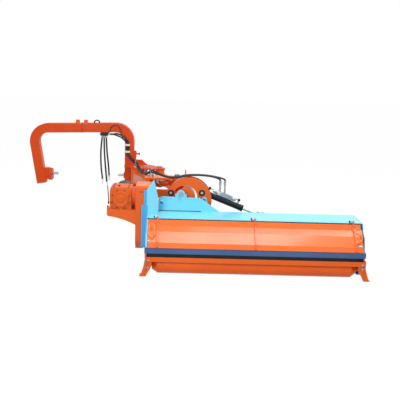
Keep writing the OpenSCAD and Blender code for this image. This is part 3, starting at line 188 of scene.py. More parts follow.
def buildDust(look):  # settles on what faces up, in soft patches
    tree, given, out = newGroup("settledDust", ["Amount", "Scale"], ["Mask"])
    upward = wire(tree, "ShaderNodeSeparateXYZ", {0: faceNormal(tree)}).outputs[2]
    patch = noise(tree, ownPlace(tree), given["Scale"], look["detail"])
    up = maths(tree, "MULTIPLY", spread(tree, upward, *look["facing"]), spread(tree, patch, *look["patch"]))
    tree.links.new(maths(tree, "MULTIPLY", up, given["Amount"], True), out["Mask"])
    return tree


def buildDrag(look):  # fine marks drawn out along one axis, as on turned or rolled metal
    tree, given, out = newGroup("dragMarks", ["Along", "Across"], ["Mark"])
    size = wire(tree, "ShaderNodeCombineXYZ", {0: given["Along"], 1: given["Across"], 2: given["Across"]})
    pulled = wire(tree, "ShaderNodeVectorMath", {0: ownPlace(tree), 1: size.outputs[0]}, operation="MULTIPLY")
    streak = noise(tree, pulled.outputs[0], look["scale"], look["detail"])
    tree.links.new(spread(tree, streak, *look["streak"]), out["Mark"])
    return tree


edgeWear = buildEdgeWear(wearLook)
coatMottle = buildMottle(mottleLook)
settledDust = buildDust(dustLook)
dragMarks = buildDrag(dragLook)


def addGroup(tree, group, **values):
    made = tree.nodes.new("ShaderNodeGroup")
    made.node_tree = group
    for key, value in values.items():
        made.inputs[key].default_value = value
    return made.outputs


def newFinish(name, plain):
    material = bpy.data.materials.new(name)
    material.use_nodes = True
    tree = material.node_tree
    shader = tree.nodes["Principled BSDF"]
    for key, value in plain.items():
        shader.inputs[key].default_value = value
    return material, tree, shader.inputs


cornerSamples = 6


def bumpTo(tree, sockets, height, strength, distance, easedCorner=0.0):
    bump = wire(tree, "ShaderNodeBump", {"Height": height, "Strength": strength, "Distance": distance})
    if easedCorner:
        eased = wire(tree, "ShaderNodeBevel", {"Radius": easedCorner}, samples=cornerSamples)
        tree.links.new(eased.outputs[0], bump.inputs["Normal"])
    tree.links.new(bump.outputs[0], sockets["Normal"])


sprayed = dict(coatRough=0.12, ior=1.5, cloudScale=4.0, peelScale=300.0, wearWidth=0.0035, dustScale=7.0,
               dustTone="b9a994", duller=0.06, glossier=0.04, dustRough=0.8, wornMetal=0.6, peelDepth=0.0006,
               easedCorner=0.0022)
drawn = dict(cloudScale=11.0, peelScale=420.0, wearWidth=0.002, markShare=0.35, edgeTone="e8e8e6",
             smoother=0.07, rougher=0.12, markDepth=0.0004)
moulded = dict(ior=1.45, cloudScale=14.0, peelScale=520.0, dustScale=16.0, dustTone="8d857a", duller=0.08,
               glossier=0.06, dustRough=0.3, wrapDistortion=0.6, wrapShare=0.8, strength=0.25, depth=0.0005)


def paintFinish(name, light, deep, rough=0.3, coat=0.35, wear=0.5, dust=0.18, peel=0.12, worn="6b625c",
                shine=0.32):
    # a sprayed coat: clouds between two tones, dust on top faces, primer at worn corners
    p = sprayed
    material, tree, sockets = newFinish(name, {"Coat Weight": coat, "Coat Roughness": p["coatRough"],
                                               "IOR": p["ior"], "Specular IOR Level": shine})
    mottle = addGroup(tree, coatMottle, Scale=p["cloudScale"], Fine=p["peelScale"])
    edge = addGroup(tree, edgeWear, Width=p["wearWidth"], Amount=wear)["Mask"]
    film = addGroup(tree, settledDust, Amount=dust, Scale=p["dustScale"])["Mask"]
    base = tint(tree, mottle["Cloud"], colour(deep), colour(light))
    base = tint(tree, film, base, colour(p["dustTone"]))
    base = tint(tree, edge, base, colour(worn))
    tree.links.new(base, sockets["Base Color"])
    gloss = spread(tree, mottle["Cloud"], 0, 1, rough + p["duller"], rough - p["glossier"])
    gloss = maths(tree, "ADD", gloss, maths(tree, "MULTIPLY", film, p["dustRough"]))
    tree.links.new(gloss, sockets["Roughness"])
    tree.links.new(maths(tree, "MULTIPLY", edge, p["wornMetal"]), sockets["Metallic"])
    bumpTo(tree, sockets, mottle["Peel"], peel, p["peelDepth"], p["easedCorner"])
    return material


def metalFinish(name, light, deep, rough=0.32, along=4.0, across=170.0, wear=0.4, peel=0.08):
    # bare or plated metal with drawn marks and brighter corners
    p = drawn
    material, tree, sockets = newFinish(name, {"Metallic": 1.0})
    mark = addGroup(tree, dragMarks, Along=along, Across=across)["Mark"]
    mottle = addGroup(tree, coatMottle, Scale=p["cloudScale"], Fine=p["peelScale"])
    edge = addGroup(tree, edgeWear, Width=p["wearWidth"], Amount=wear)["Mask"]
    base = tint(tree, mottle["Cloud"], colour(deep), colour(light))
    base = tint(tree, maths(tree, "MULTIPLY", mark, p["markShare"]), base, colour(deep))
    base = tint(tree, edge, base, colour(p["edgeTone"]))
    tree.links.new(base, sockets["Base Color"])
    gloss = spread(tree, mark, 0, 1, rough - p["smoother"], rough + p["rougher"])
    tree.links.new(gloss, sockets["Roughness"])
    bumpTo(tree, sockets, mark, peel, p["markDepth"])
    return material


def rubberFinish(name, light, deep, rough=0.55, dust=0.35, rings=0.0):
    # rubber or plastic: cloudy, dusty on top, with a wrapped-cloth ripple along hoses where rings is set
    p = moulded
    material, tree, sockets = newFinish(name, {"IOR": p["ior"]})
    mottle = addGroup(tree, coatMottle, Scale=p["cloudScale"], Fine=p["peelScale"])
    film = addGroup(tree, settledDust, Amount=dust, Scale=p["dustScale"])["Mask"]
    base = tint(tree, mottle["Cloud"], colour(deep), colour(light))
    tree.links.new(tint(tree, film, base, colour(p["dustTone"])), sockets["Base Color"])
    gloss = spread(tree, mottle["Cloud"], 0, 1, rough + p["duller"], rough - p["glossier"])
    gloss = maths(tree, "ADD", gloss, maths(tree, "MULTIPLY", film, p["dustRough"]))
    tree.links.new(gloss, sockets["Roughness"])
    height = mottle["Peel"]
    if rings:
        along = wire(tree, "ShaderNodeUVMap", uv_map="along").outputs[0]
        ripple = {"Vector": along, "Scale": rings, "Distortion": p["wrapDistortion"]}
        wrap = wire(tree, "ShaderNodeTexWave", ripple, bands_direction="DIAGONAL")
        height = maths(tree, "ADD", maths(tree, "MULTIPLY", wrap.outputs[1], p["wrapShare"]), height)
    bumpTo(tree, sockets, height, p["strength"], p["depth"])
    return material


orangePaint = paintFinish("orangePaint", "ee660e", "e65c0a", coat=0.15, wear=0.3, dust=0.06)
# a darker copy of the orange paint for the arch, lugs and brackets: painted shade of their upright faces
archOrangeShaded = paintFinish("archOrangeShaded", "e04c08", "d64406", rough=0.36, coat=0.0, wear=0.3, dust=0.05,
                         shine=0.2)
# a lighter copy of the orange paint for the hood fittings: painted highlight
loopOrangeHighlit = paintFinish("loopOrangeHighlit", "ff9440", "fa8836", coat=0.2, wear=0.2, dust=0.0)
hoodOrange = paintFinish("hoodOrange", "f2701a", "ec6814", rough=0.24, coat=0.55, wear=0.25, dust=0.04)
castOrange = paintFinish("castOrange", "ea680c", "d9590a", rough=0.42, coat=0.05, wear=0.35, dust=0.12,
                         peel=0.5)
rollerOrange = paintFinish("rollerOrange", "f6680a", "ec5d08", rough=0.32, coat=0.12, wear=0.35, dust=0.05)
# one blue paint in three copies, lit and shaded: the deck's light cyan is a painted highlight, the side
# plates' and skids' blue a middle level of painted light, the beam's dark blue painted shade
blueHighlitPaint = paintFinish("blueHighlitPaint", "84e0fb", "78d8f7", coat=0.12, wear=0.3, dust=0.06)
sideBlueMidLit = paintFinish("sideBlueMidLit", "49aee6", "3c9fdc", wear=0.35, dust=0.08)
beamBlueShaded = paintFinish("beamBlueShaded", "3f6ca6", "355f97", rough=0.32, wear=0.4)
blackPaint = paintFinish("blackPaint", "141a1e", "0c1013", rough=0.4, coat=0.05, wear=0.3, dust=0.06,
                         worn="8b8b88", shine=0.22)
# a dark brown tone for the bead on the arch's seam
darkSeamTone = paintFinish("darkSeamTone", "7c3a18", "5a2a14", rough=0.5, coat=0.0)
# black rubber for the apron, flaps and belt, also used for the painted shade pieces at the plinth's foot and
# on the belt cover
blackRubberAndShade = rubberFinish("blackRubberAndShade", "1b1c1e", "101113", rough=0.62, dust=0.12)
hoseRubber = rubberFinish("hoseRubber", "1b1c1e", "0e0f10", rough=0.46, dust=0.08, rings=26.0)
guardRubber = rubberFinish("guardRubber", "3a3b3d", "242527", rough=0.33, dust=0.5)
blackPlastic = rubberFinish("blackPlastic", "2b2c2f", "1c1d1f", rough=0.36)
whitePlastic = rubberFinish("whitePlastic", "eceae4", "dcd8ce", rough=0.4, dust=0.2)
zincSteel = metalFinish("zincSteel", "b4b7bb", "8f9398")
brightZinc = metalFinish("brightZinc", "fbfbfa", "e6e8ea", rough=0.4, wear=0.0)
darkSteel = metalFinish("darkSteel", "5b5a58", "3d3b39", rough=0.48, along=9.0, across=60.0, wear=0.6,
                        peel=0.2)
chrome = metalFinish("chrome", "d5d8dc", "b9bdc2", rough=0.16, along=2.0, across=90.0, wear=0.1, peel=0.02)
print("finishes made")


# mesh parts
def shellVolume(mesh):
    # sixth of the sum of a . (b x c) over the triangles, negative when faces point inwards
    mesh.calc_loop_triangles()
    corner = np.empty(len(mesh.loop_triangles) * 3, np.int32)
    mesh.loop_triangles.foreach_get("vertices", corner)
    spot = np.empty(len(mesh.vertices) * 3)
    mesh.vertices.foreach_get("co", spot)
    a, b, c = spot.reshape(-1, 3)[corner.reshape(-1, 3)].transpose(1, 0, 2)
    return float((a * np.cross(b, c)).sum() / 6)


def gridObject(name, grid, finish, closeU=False, closeV=False, capU=False, sharp=35):
    # a surface given as points on a grid of two parameters, with its parameters as UV
    nu, nv = grid.shape[:2]
    stepsU = np.arange(nu if closeU else nu - 1)
    stepsV = np.arange(nv if closeV else nv - 1)
    iu, iv = (index.ravel() for index in np.meshgrid(stepsU, stepsV, indexing="ij"))
    cornerU = iu[:, None] + np.array([0, 1, 1, 0])
    cornerV = iv[:, None] + np.array([0, 0, 1, 1])
    faces = ((cornerU % nu) * nv + cornerV % nv).tolist()
    uv = [np.stack([cornerU / (nu - 1), cornerV / nv], 2).reshape(-1, 2)]
    if capU:
        ring = np.arange(nv)
        faces += [ring[::-1].tolist(), (ring + (nu - 1) * nv).tolist()]
        uv.append(np.zeros((2 * nv, 2)))
    mesh = bpy.data.meshes.new(name)
    mesh.from_pydata(grid.reshape(-1, 3).tolist(), [], faces)
    layer = mesh.uv_layers.new(name="along")
    layer.data.foreach_set("uv", np.concatenate(uv).astype(np.float32).ravel())
    mesh.polygons.foreach_set("use_smooth", np.ones(len(faces), bool))
    mesh.set_sharp_from_angle(angle=np.radians(sharp))
    mesh.materials.append(finish)
    mesh.update()
    if shellVolume(mesh) < 0:
        mesh.flip_normals()
    made = bpy.data.objects.new(name, mesh)
    bpy.context.scene.collection.objects.link(made)
    return made


def joined(name, parts):  # several meshes of one finish as one piece
    for other in bpy.context.view_layer.objects:
        other.select_set(other in parts)
    bpy.context.view_layer.objects.active = parts[0]
    bpy.ops.object.join()
    parts[0].name = name
    parts[0].data.name = name
    parts[0].select_set(False)
    return parts[0]


def put(piece, body, slot, *nodes):  # a piece's body, material slot and the solids that it stands for; slot is not used
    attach(piece, body)
    if nodes:
        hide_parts(*nodes)


def easedPath(knots, steps):
    # a cubic through the knots, which leaves each one along the line between its neighbours
    p = np.asarray(knots, float)
    ends = np.vstack([p[:1], p, p[-1:]])
    a, b, c, d = (ends[i:i + len(p) - 1, None] for i in range(4))
    t = (np.arange(steps) / steps)[None, :, None]
    bend = 2 * a - 5 * b + 4 * c - d
    twist = 3 * b - a - 3 * c + d
    line = 0.5 * (2 * b + (c - a) * t + bend * t ** 2 + twist * t ** 3)
    return np.vstack([line.reshape(-1, 3), p[-1:]])


def circle(sides):
    return np.linspace(0, 2 * np.pi, sides, endpoint=False)


def squareReach(a, power):  # superellipse radius at angle a: a circle at power 2, near a square at 9
    return (np.abs(np.cos(a)) ** power + np.abs(np.sin(a)) ** power) ** (-1 / power)


def hoseTube(name, path, radius, finish, sides=16, first=(1, 1, -1)):
    # a ring carried along the path: point plus radius times cos a and sin a of two cross directions
    ahead = unit(np.gradient(path, axis=0))
    side = np.asarray(first, float)
    side = unit(side - (ahead @ side)[:, None] * ahead)
    over = np.cross(ahead, side)
    a = circle(sides)[None, :, None]
    r = np.broadcast_to(np.asarray(radius, float), (len(path),))[:, None, None]
    ring = path[:, None] + r * (np.cos(a) * side[:, None] + np.sin(a) * over[:, None])
    return gridObject(name, ring, finish, closeV=True, capU=True)


# offAxis is a direction that no turned piece has for its axis
turning = dict(offAxis=(0.31, 0.52, 0.79), sharp=28)


def turnedPiece(name, profile, start, axis, finish, sides=40, corners=None, ring=False):
    # a profile of (distance along, radius) in millimetres turned about an axis; corners gives 6 for a hexagon
    # stretch, and ring joins the profile's end to its start, for a hollow piece
    axis = unit(np.asarray(axis, float))
    side = unit(np.cross(axis, turning["offAxis"]))
    over = np.cross(axis, side)
    along, radius = np.asarray(profile, float).T / 1000
    a = circle(sides)
    reach = np.ones((len(along), sides))
    if corners is not None:
        flat = np.cos(np.pi / 6) / np.cos((a + np.pi / 6) % (np.pi / 3) - np.pi / 6)
        reach = np.where(np.asarray(corners)[:, None] == 6, flat[None], 1.0)
    around = np.cos(a)[:, None] * side + np.sin(a)[:, None] * over
    outline = (radius[:, None] * reach)[..., None] * around
    skin = np.asarray(start, float) + along[:, None, None] * axis + outline
    return gridObject(name, skin, finish, closeU=ring, closeV=True, capU=not ring, sharp=turning["sharp"])


weld = dict(pitch=0.006, perPitch=4, fewest=8, least=0.82, swell=0.18, drift=0.05, driftRate=97.0, sides=8)


def weldBead(name, points, radius, finish, first, closed=False):
    # a tube whose radius swells and shrinks along the run, as laid metal does
    run = np.asarray(points, float)
    if closed:
        run = np.vstack([run, run[:1]])
    reach = np.concatenate([[0], np.cumsum(np.linalg.norm(np.diff(run, axis=0), axis=1))])
    s = np.linspace(0, reach[-1], max(int(reach[-1] / weld["pitch"] * weld["perPitch"]), weld["fewest"]))
    path = np.stack([np.interp(s, reach, run[:, k]) for k in range(3)], 1)
    swell = weld["least"] + weld["swell"] * np.abs(np.sin(np.pi * s / weld["pitch"]))
    swell = swell + weld["drift"] * np.sin(s * weld["driftRate"])
    return hoseTube(name, path, radius * swell, finish, sides=weld["sides"], first=first)


padShape = dict(sides=56, sharp=30)


def pressedPad(name, centre, across, up, half, profile, finish, power):
    # a superellipse outline, scaled and raised ring by ring: centre + height n + scale outline
    # half sizes and heights are in millimetres
    across, up = np.asarray(across, float), np.asarray(up, float)
    a = circle(padShape["sides"])
    reach = squareReach(a, power) / 1000
    outline = (half[0] * reach * np.cos(a))[:, None] * across + (half[1] * reach * np.sin(a))[:, None] * up
    scale, height = np.asarray(profile, float).T[:, :, None, None]
    grid = np.asarray(centre, float) + height / 1000 * np.cross(across, up) + scale * outline
    return gridObject(name, grid, finish, closeV=True, capU=True, sharp=padShape["sharp"])


# washer, hexagon head and its turned-down crown, in parts of the radius across the corners
boltShape = dict(profile=[(-0.3, 1.5), (0.25, 1.5), (0.32, 1.4), (0.32, 1.06), (0.95, 1.06), (1.1, 0.88),
                          (1.1, 0.3)],
                 corners=[0, 0, 0, 6, 6, 0, 0], sides=36)


def hexBolt(name, at, axis, radius, finish):
    profile = np.array(boltShape["profile"]) * radius
    return turnedPiece(name, profile, at, axis, finish, boltShape["sides"], boltShape["corners"])


# hanging hoses and the control cable
hangLow = 1085.6  # underside of the hanger
hanging = dict(diameter=0.018, cableDiameter=0.010, steps=6, first=(1, 0.4, 0.1))
hangRoutes = {
    "hangingHose1": [(-1074, 1138, hangLow), (-1074, 1138, 1070), (-1074, 1138, 1050), (-1086, 1136, 900),
                     (-1082, 1134, 740), (-1070, 1132, 640), (-1068, 1132, 606)],
    "hangingHose2": [(-1050, 1138, hangLow), (-1050, 1138, 1070), (-1050, 1138, 1050), (-1046, 1132, 900),
                     (-1034, 1130, 740), (-1022, 1130, 610), (-1020, 1130, 576)],
    "hangingHose3": [(-1026, 1138, hangLow), (-1026, 1138, 1070), (-1026, 1138, 1050), (-1018, 1138, 900),
                     (-1004, 1138, 780), (-996, 1138, 680), (-995, 1138, 646)],
    "hangingCable": [(-1050, 1166, hangLow), (-1050, 1166, 1070), (-1050, 1166, 1050), (-1044, 1164, 860),
                     (-1024, 1162, 640), (-1004, 1160, 420), (-1000, 1160, 350)],
}
coupler = dict(profile=[(0.4, 9.2), (0.4, 11.5), (20, 11.5), (21, 10), (22, 12.8), (30, 12.8), (31, 9.4),
                        (34, 9.4), (35, 9.6), (52, 9.6), (54, 8.2), (56, 8.2), (56, 6)],
               corners=[0, 0, 0, 0, 6, 6, 0, 0, 0, 0, 0, 0, 0], sides=36)
cablePlug = dict(profile=[(0.4, 5.5), (0.4, 7), (8, 7), (9, 9), (22, 9), (23, 7.6), (31, 7.6), (32, 6.6)])


def makeHanging(name, route):
    isCable = name == "hangingCable"
    width = hanging["cableDiameter"] if isCable else hanging["diameter"]
    path = lay(easedPath(route, hanging["steps"]))
    hose = hoseTube(name, path, width / 2, blackPlastic if isCable else hoseRubber, first=hanging["first"])
    down = (0, 0, -1)
    if isCable:
        end = turnedPiece("cablePlug", cablePlug["profile"], path[-1], down, blackPlastic)
        put(hose, "headstock", "black_rubber", "hanging_cable")
        put(end, "headstock", "black_plastic", "cable_plug")
    else:
        number = name[-1]
        end = turnedPiece("coupler" + number, coupler["profile"], path[-1], down, brightZinc,
                          sides=coupler["sides"], corners=coupler["corners"])
        put(hose, "headstock", "black_rubber", "hanging_hose_" + number)
        put(end, "headstock", "steel", "quick_couplers")


for hoseName, hoseRoute in hangRoutes.items():
    makeHanging(hoseName, hoseRoute)

# thin cable looped over the right-hand bend, from the hanger to the hoses on the leg
bendLoop = dict(diameter=0.009, steps=8, sides=12, first=(0.3, 1, 0.2),
                route=[(-1007, 1124, 1112), (-1000, 1128, 1116), (-990, 1138, 1135), (-978, 1142, 1170),
                       (-953, 1142, 1194), (-922, 1142, 1202), (-893, 1142, 1187), (-874, 1140, 1150),
                       (-864, 1128, 1108), (-848, 1117, 1076), (-826, 1114, 1045), (-812, 1113, 1020)])
bendPath = lay(easedPath(bendLoop["route"], bendLoop["steps"]))
bendCable = hoseTube("bendCable", bendPath, bendLoop["diameter"] / 2, blackPlastic, sides=bendLoop["sides"],
                     first=bendLoop["first"])
put(bendCable, "headstock", "black_rubber")
print("hanging hoses made")

# fixed hoses, two to a run: up the leg, along the left link, and over the head to the lock valve
hoseRun = dict(step=22.0, diameter=0.018, steps=7, legSwivel=(-690.0, 1000.0, 815.0),
               headSwivel=(-498.469, 473.772, 815.0), way=(1 / 3, -1, 0), headMid=257.5,
               elbows=(210.1, 745.0), elbowSpread=2.12, guideKnot=6, backBlend=(14, -2), overBlend=(4, -21))
hoseFirst = dict(arm=(0.9, 0.4, 0.5), back=(0.2, 0.5, 1), over=(0.1, 1, 0.1))
upright = [(0, 0, 1)] * 3  # the pair stands one above the other at a swivel


def pairPaths(route, spreads):  # the two hoses of a run stand half a step either side of the route
    offset = np.asarray(spreads, float) * hoseRun["step"]
    return [lay(easedPath(np.asarray(route, float) + (k - 0.5) * offset, hoseRun["steps"])) for k in (0, 1)]


def makeFixedHoses(h):
    a, b = np.array(h["legSwivel"]), np.array(h["headSwivel"])
    into = np.array(h["way"])
    mid = h["headMid"]
    top = np.array([h["elbows"][0], mid, h["elbows"][1]])
    legRoute = [a - 0.5 * into, a - 20 * into, a - 40 * into, (-752, 1102, 842), (-793, 1137, 900),
                (-793, 1137, 1000), (-842, 1132, 1068), (-905, 1130, 1098), (-950, 1138, 1101),
                (-980, 1138, 1101), (-1007.4, 1138, 1101)]
    legSpread = upright + [(0.7, 0, 0.7), (1, 0, 0), (1, 0, 0), (0.7, 0, 0.7), (0, 0.3, 0.9),
                           (0, 1, 0), (0, 1, 0), (0, 1, 0)]
    armRoute = [a + 0.5 * into, a + 20 * into, a + 40 * into, (-640, 850, 766), (-590, 716, 746),
                (-534, 562, 778), b - 40 * into, b - 20 * into, b - 0.5 * into]
    armSpread = upright + [(1, 0.3, 0)] * 3 + upright
    headRoute = [b + 0.5 * into, b + 20 * into, b + 40 * into, (-428, 366, 806), (-330, 300, 786),
                 (-235, 264, 792), (-156, mid, 812), (-60, mid, 820), (40, mid, 818), (130, mid, 806),
                 top + (-14, 0, 42), top + (0, 0, 24), top + (0, 0, 12), top + (0, 0, 0.5)]
    headSpread = upright + [(0.3, 0.9, 0.3), (0, 1.2, 0), (0, 1.8, 0), (0, 1.8, 0), (0, 1.4, 0), (0, 1.2, 0),
                            (0.8, 0.8, 0)] + [(h["elbowSpread"], 0, 0)] * 4
    radius = h["diameter"] / 2
    for k, path in enumerate(pairPaths(legRoute, legSpread), 1):
        put(hoseTube(f"legHose{k}", path, radius, hoseRubber), "headstock", "black_rubber", "leg_hoses")
    for k, path in enumerate(pairPaths(armRoute, armSpread), 1):
        hose = hoseTube(f"armHose{k}", path, radius, hoseRubber, first=hoseFirst["arm"])
        put(hose, "left_arm", "black_rubber", "arm_hoses")
    split = h["guideKnot"] * h["steps"]  # the guide rod, where the run passes from knuckle to head
    for k, path in enumerate(pairPaths(headRoute, headSpread), 1):
        back = hoseTube(f"headHose{k}", path[:split + 1], radius, hoseRubber, first=hoseFirst["back"])
        over = hoseTube(f"valveHose{k}", path[split:], radius, hoseRubber, first=hoseFirst["over"])
        for part in (back, over):
            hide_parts("tilt_hoses")
        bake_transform(back)
        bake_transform(over)


makeFixedHoses(hoseRun)
print("fixed hoses made")

# ribbed shaft guard
shaftGuard = dict(at=(-755.0, 180.0, 627.0), stations=[0, 40, 90, 236], radii=[66, 66, 88, 96], wall=5.0,
                  hub=29.5, ribDepth=5.5, ribStep=18.0, ribFrom=40.0, rings=180, sides=80)


def makeShaftGuard(g):
    # the outside runs between the stations and dips by a raised cosine at each rib; the inside lies a wall in
    along = np.linspace(0, g["stations"][-1], g["rings"])
    turn = 2 * np.pi * (along - g["ribFrom"]) / g["ribStep"]
    rib = np.where(along > g["ribFrom"], 0.5 - 0.5 * np.cos(turn), 0)
    outer = np.interp(along, g["stations"], g["radii"]) - g["ribDepth"] * rib
    skin = np.stack([along, outer], 1)
    lining = np.stack([along, outer - g["wall"]], 1)[along > g["wall"]][::-1]
    floor = [(g["wall"], outer[0] - g["wall"]), (g["wall"], g["hub"])]
    loop = np.vstack([[(0, g["hub"])], skin, lining, floor])
    guard = turnedPiece("shaftGuard", loop, lay(g["at"]), (0, 1, 0), guardRubber, sides=g["sides"], ring=True)
    put(guard, "deck", "black_plastic", "pto_guard")


makeShaftGuard(shaftGuard)
print("shaft guard made")

# rubber apron behind the beam and the flap curtain at the front
rubberApron = dict(x=(-490.0, 1470.0), y=-402.0, thick=6.0, z=(160.0, 205.0), stations=160, rows=9,
                   lowThin=0.35, topThin=0.2, sway=1.8, swayLength=340.0, ripple=0.6, rippleLength=0.43,
                   hang=1.5, sharp=50)
flapCurtain = dict(count=9, gap=6.0, x=(-502.0, 1482.0), rod=(267.0, 263.0), eye=12.0, thick=6.0, low=85.0,
                   bow=2.4, bowShift=0.35, hang=2, stations=26, eyePoints=30, tailPoints=11, sharp=40)


def carried(x, y, z):  # a section of (y, z) points at each X
    return np.stack(np.broadcast_arrays(x[:, None], y, z), -1)


def makeApron(p):
    # a thin upright section carried along X, its lower edge swaying by two sines
    x = np.linspace(*p["x"], p["stations"])
    low, high = p["z"]
    down = np.linspace(high, low, p["rows"])
    z = np.concatenate([down, down[::-1]])
    drop = (high - z) / (high - low)
    half = p["thick"] / 2 * (1 - p["lowThin"] * (z == low) - p["topThin"] * (z == high))
    y = p["y"] + half * np.repeat([-1, 1], p["rows"])
    turn = 2 * np.pi * x / p["swayLength"]
    sway = p["sway"] * (np.sin(turn) + p["ripple"] * np.sin(turn / p["rippleLength"] + 1))
    grid = carried(x, y + sway[:, None] * drop ** p["hang"], z)
    apron = gridObject("rubberApron", lay(grid), blackRubberAndShade, closeV=True, capU=True, sharp=p["sharp"])
    put(apron, "deck", "black_rubber", "rubber_flap")


def makeFlaps(p):
    # an eye about the rod and a straight tail, carried along X; each tail bows by a sine across its width
    half, eye = p["thick"] / 2, p["eye"]
    rodY, rodZ = p["rod"]
    neck = np.arcsin(half / eye)
    a = np.linspace(-np.pi / 2 + neck, 3 * np.pi / 2 - neck, p["eyePoints"])
    tail = p["tailPoints"]
    down = np.linspace(rodZ - eye * np.cos(neck), p["low"], tail + 1)[1:]
    y = rodY + np.concatenate([eye * np.cos(a), np.full(tail, -half), np.full(tail, half)])
    z = np.concatenate([rodZ + eye * np.sin(a), down, down[::-1]])
    drop = np.clip((rodZ - eye - z) / (rodZ - eye - p["low"]), 0, 1)
    pitch = (p["x"][1] - p["x"][0]) / p["count"]
    t = np.linspace(0, 1, p["stations"])
    flaps = []
    for i in range(p["count"]):
        x = p["x"][0] + i * pitch + p["gap"] / 2 + t * (pitch - p["gap"])
        way = 1 if i % 2 else -1
        bow = way * p["bow"] * np.sin(np.pi * t + p["bowShift"] * i)
        grid = carried(x, y + bow[:, None] * drop ** p["hang"], z)
        flaps.append(gridObject(f"flap{i}", lay(grid), blackRubberAndShade, closeV=True, capU=True, sharp=p["sharp"]))
    put(joined("flapCurtain", flaps), "front_flaps", "black_rubber", "front_flaps")


makeApron(rubberApron)
makeFlaps(flapCurtain)
print("rubber made")

# tilt head: bush rings, and on the tilt cylinder the lock valve, unions, collars and ferrules
bushRings = dict(spots={"floatRing": (-294.0, 647.0, "knuckle"), "ramRing": (8.0, 655.0, "tilt_head")},
                 faces={"Rear": (200.0, -1), "Front": (315.0, 1)},
                 profile=[(0.8, 24.5), (0.8, 30), (6.4, 30), (8.4, 28), (8.4, 14.5), (6.6, 13.4),
                          (6.6, 24.5)])
tiltRam = dict(foot=(8.0, 257.5, 655.0), lean=21.0)
# stations are (along, radius, squareness): round cartridges at the ends, a chamfered block with two grooves
lockValve = dict(along=100.0, high=52.0, sides=64, sharp=28,
                 stations=[(0.5, 9, 2), (0.5, 13, 2), (3, 14, 2), (16, 14, 2), (17, 18, 2), (42, 18, 2),
                           (43, 20.5, 9), (46, 22, 9), (88, 22, 9), (89, 20.8, 9), (92, 20.8, 9), (93, 22, 9),
                           (150, 22, 9), (151, 20.8, 9), (154, 20.8, 9), (155, 22, 9), (194, 22, 9),
                           (197, 20.5, 9), (198, 18, 2), (223, 18, 2), (224, 14, 2), (237, 14, 2),
                           (239.5, 13, 2), (239.5, 9, 2)])
banjo = dict(along=(60.0, 371.0), high=64.0, corners=[6] * 6,
             profile=[(-10.8, 4), (-10.8, 13), (-9, 14.6), (9, 14.6), (10.8, 13), (10.8, 4)])
barrelCollar = dict(along=(46.0, 400.0),
                    profile=[(0, 30.1), (0, 32.2), (2, 33), (8, 33), (10, 32.2), (10, 30.1)])
ferrule = dict(profile=[(0.5, 9.15), (0.5, 10.8), (2, 11.6), (9, 11.6), (10, 10.9), (12, 11.6), (20, 11.6),
                        (22, 10.4), (24, 10.2), (24, 9.15)])
valveElbows = dict(x=(186.7, 233.4), y=257.5, z=745.0)


def makeBushRings(r):
    for name, (x, z, body) in r["spots"].items():
        for side, (y, way) in r["faces"].items():
            ring = turnedPiece(name + side, r["profile"], lay((x, y, z)), (0, way, 0), blackPaint, ring=True)
            put(ring, body, "black_paint")


def makeRamTrim():
    lean = np.radians(tiltRam["lean"])
    along = np.array([np.cos(lean), 0, -np.sin(lean)])
    over = np.array([np.sin(lean), 0, np.cos(lean)])
    across = np.array([0, 1, 0])
    foot = lay(tiltRam["foot"])
    start = foot + (lockValve["along"] * along + lockValve["high"] * over) / 1000
    reach, radius, power = np.array(lockValve["stations"]).T[:, :, None]
    a = circle(lockValve["sides"])
    outline = (radius * squareReach(a, power) / 1000)[..., None]
    around = np.cos(a)[:, None] * over + np.sin(a)[:, None] * across
    skin = start + reach[..., None] / 1000 * along + outline * around
    valve = gridObject("lockValve", skin, zincSteel, closeV=True, capU=True, sharp=lockValve["sharp"])
    put(valve, "tilt_barrel", "steel", "lock_valve")
    trim = []
    for s in banjo["along"]:
        at = foot + (s * along + banjo["high"] * over) / 1000
        cap = turnedPiece("banjoCap", banjo["profile"], at, across, blackPaint, corners=banjo["corners"])
        trim.append(cap)
    for s in barrelCollar["along"]:
        at = foot + s / 1000 * along
        trim.append(turnedPiece("barrelCollar", barrelCollar["profile"], at, along, blackPaint, ring=True))
    put(joined("barrelTrim", trim), "tilt_barrel", "black_paint")


def ferrulesAt(name, points, way):
    return [turnedPiece(name, ferrule["profile"], lay(at), way, zincSteel, ring=True) for at in points]


def makeValveFerrules(e):
    sleeves = ferrulesAt("valveFerrule", [(x, e["y"], e["z"]) for x in e["x"]], (0, 0, 1))
    put(joined("valveFerrules", sleeves), "tilt_barrel", "steel")


makeBushRings(bushRings)
makeRamTrim()
makeValveFerrules(valveElbows)

# hose ends at the hanger, and the swivels where a run passes from one body to the next
hoseEnds = dict(legEnds=[(-1007.4, 1127, 1101), (-1007.4, 1149, 1101)],
                ball=[(-12.2, 2), (-11, 6), (-8, 10), (-4, 12.4), (0, 13), (4, 12.4), (8, 10), (11, 6),
                      (12.2, 2)],
                swivels={"swivelsLeg": ("legSwivel", "headstock"), "swivelsHead": ("headSwivel", "knuckle")})


def makeHoseEnds(h):
    tops = [route[0] for name, route in hangRoutes.items() if name != "hangingCable"]
    sleeves = ferrulesAt("topFerrule", tops, (0, 0, -1)) + ferrulesAt("legFerrule", h["legEnds"], (1, 0, 0))
    put(joined("hangerFerrules", sleeves), "headstock", "steel")
    for name, (key, body) in h["swivels"].items():
        ends = [np.array(hoseRun[key]) + (0, 0, way * hoseRun["step"] / 2) for way in (-1, 1)]
        balls = [turnedPiece("ball", h["ball"], lay(at), hoseRun["way"], zincSteel) for at in ends]
        put(joined(name, balls), body, "steel")


makeHoseEnds(hoseEnds)
print("hose ends made")

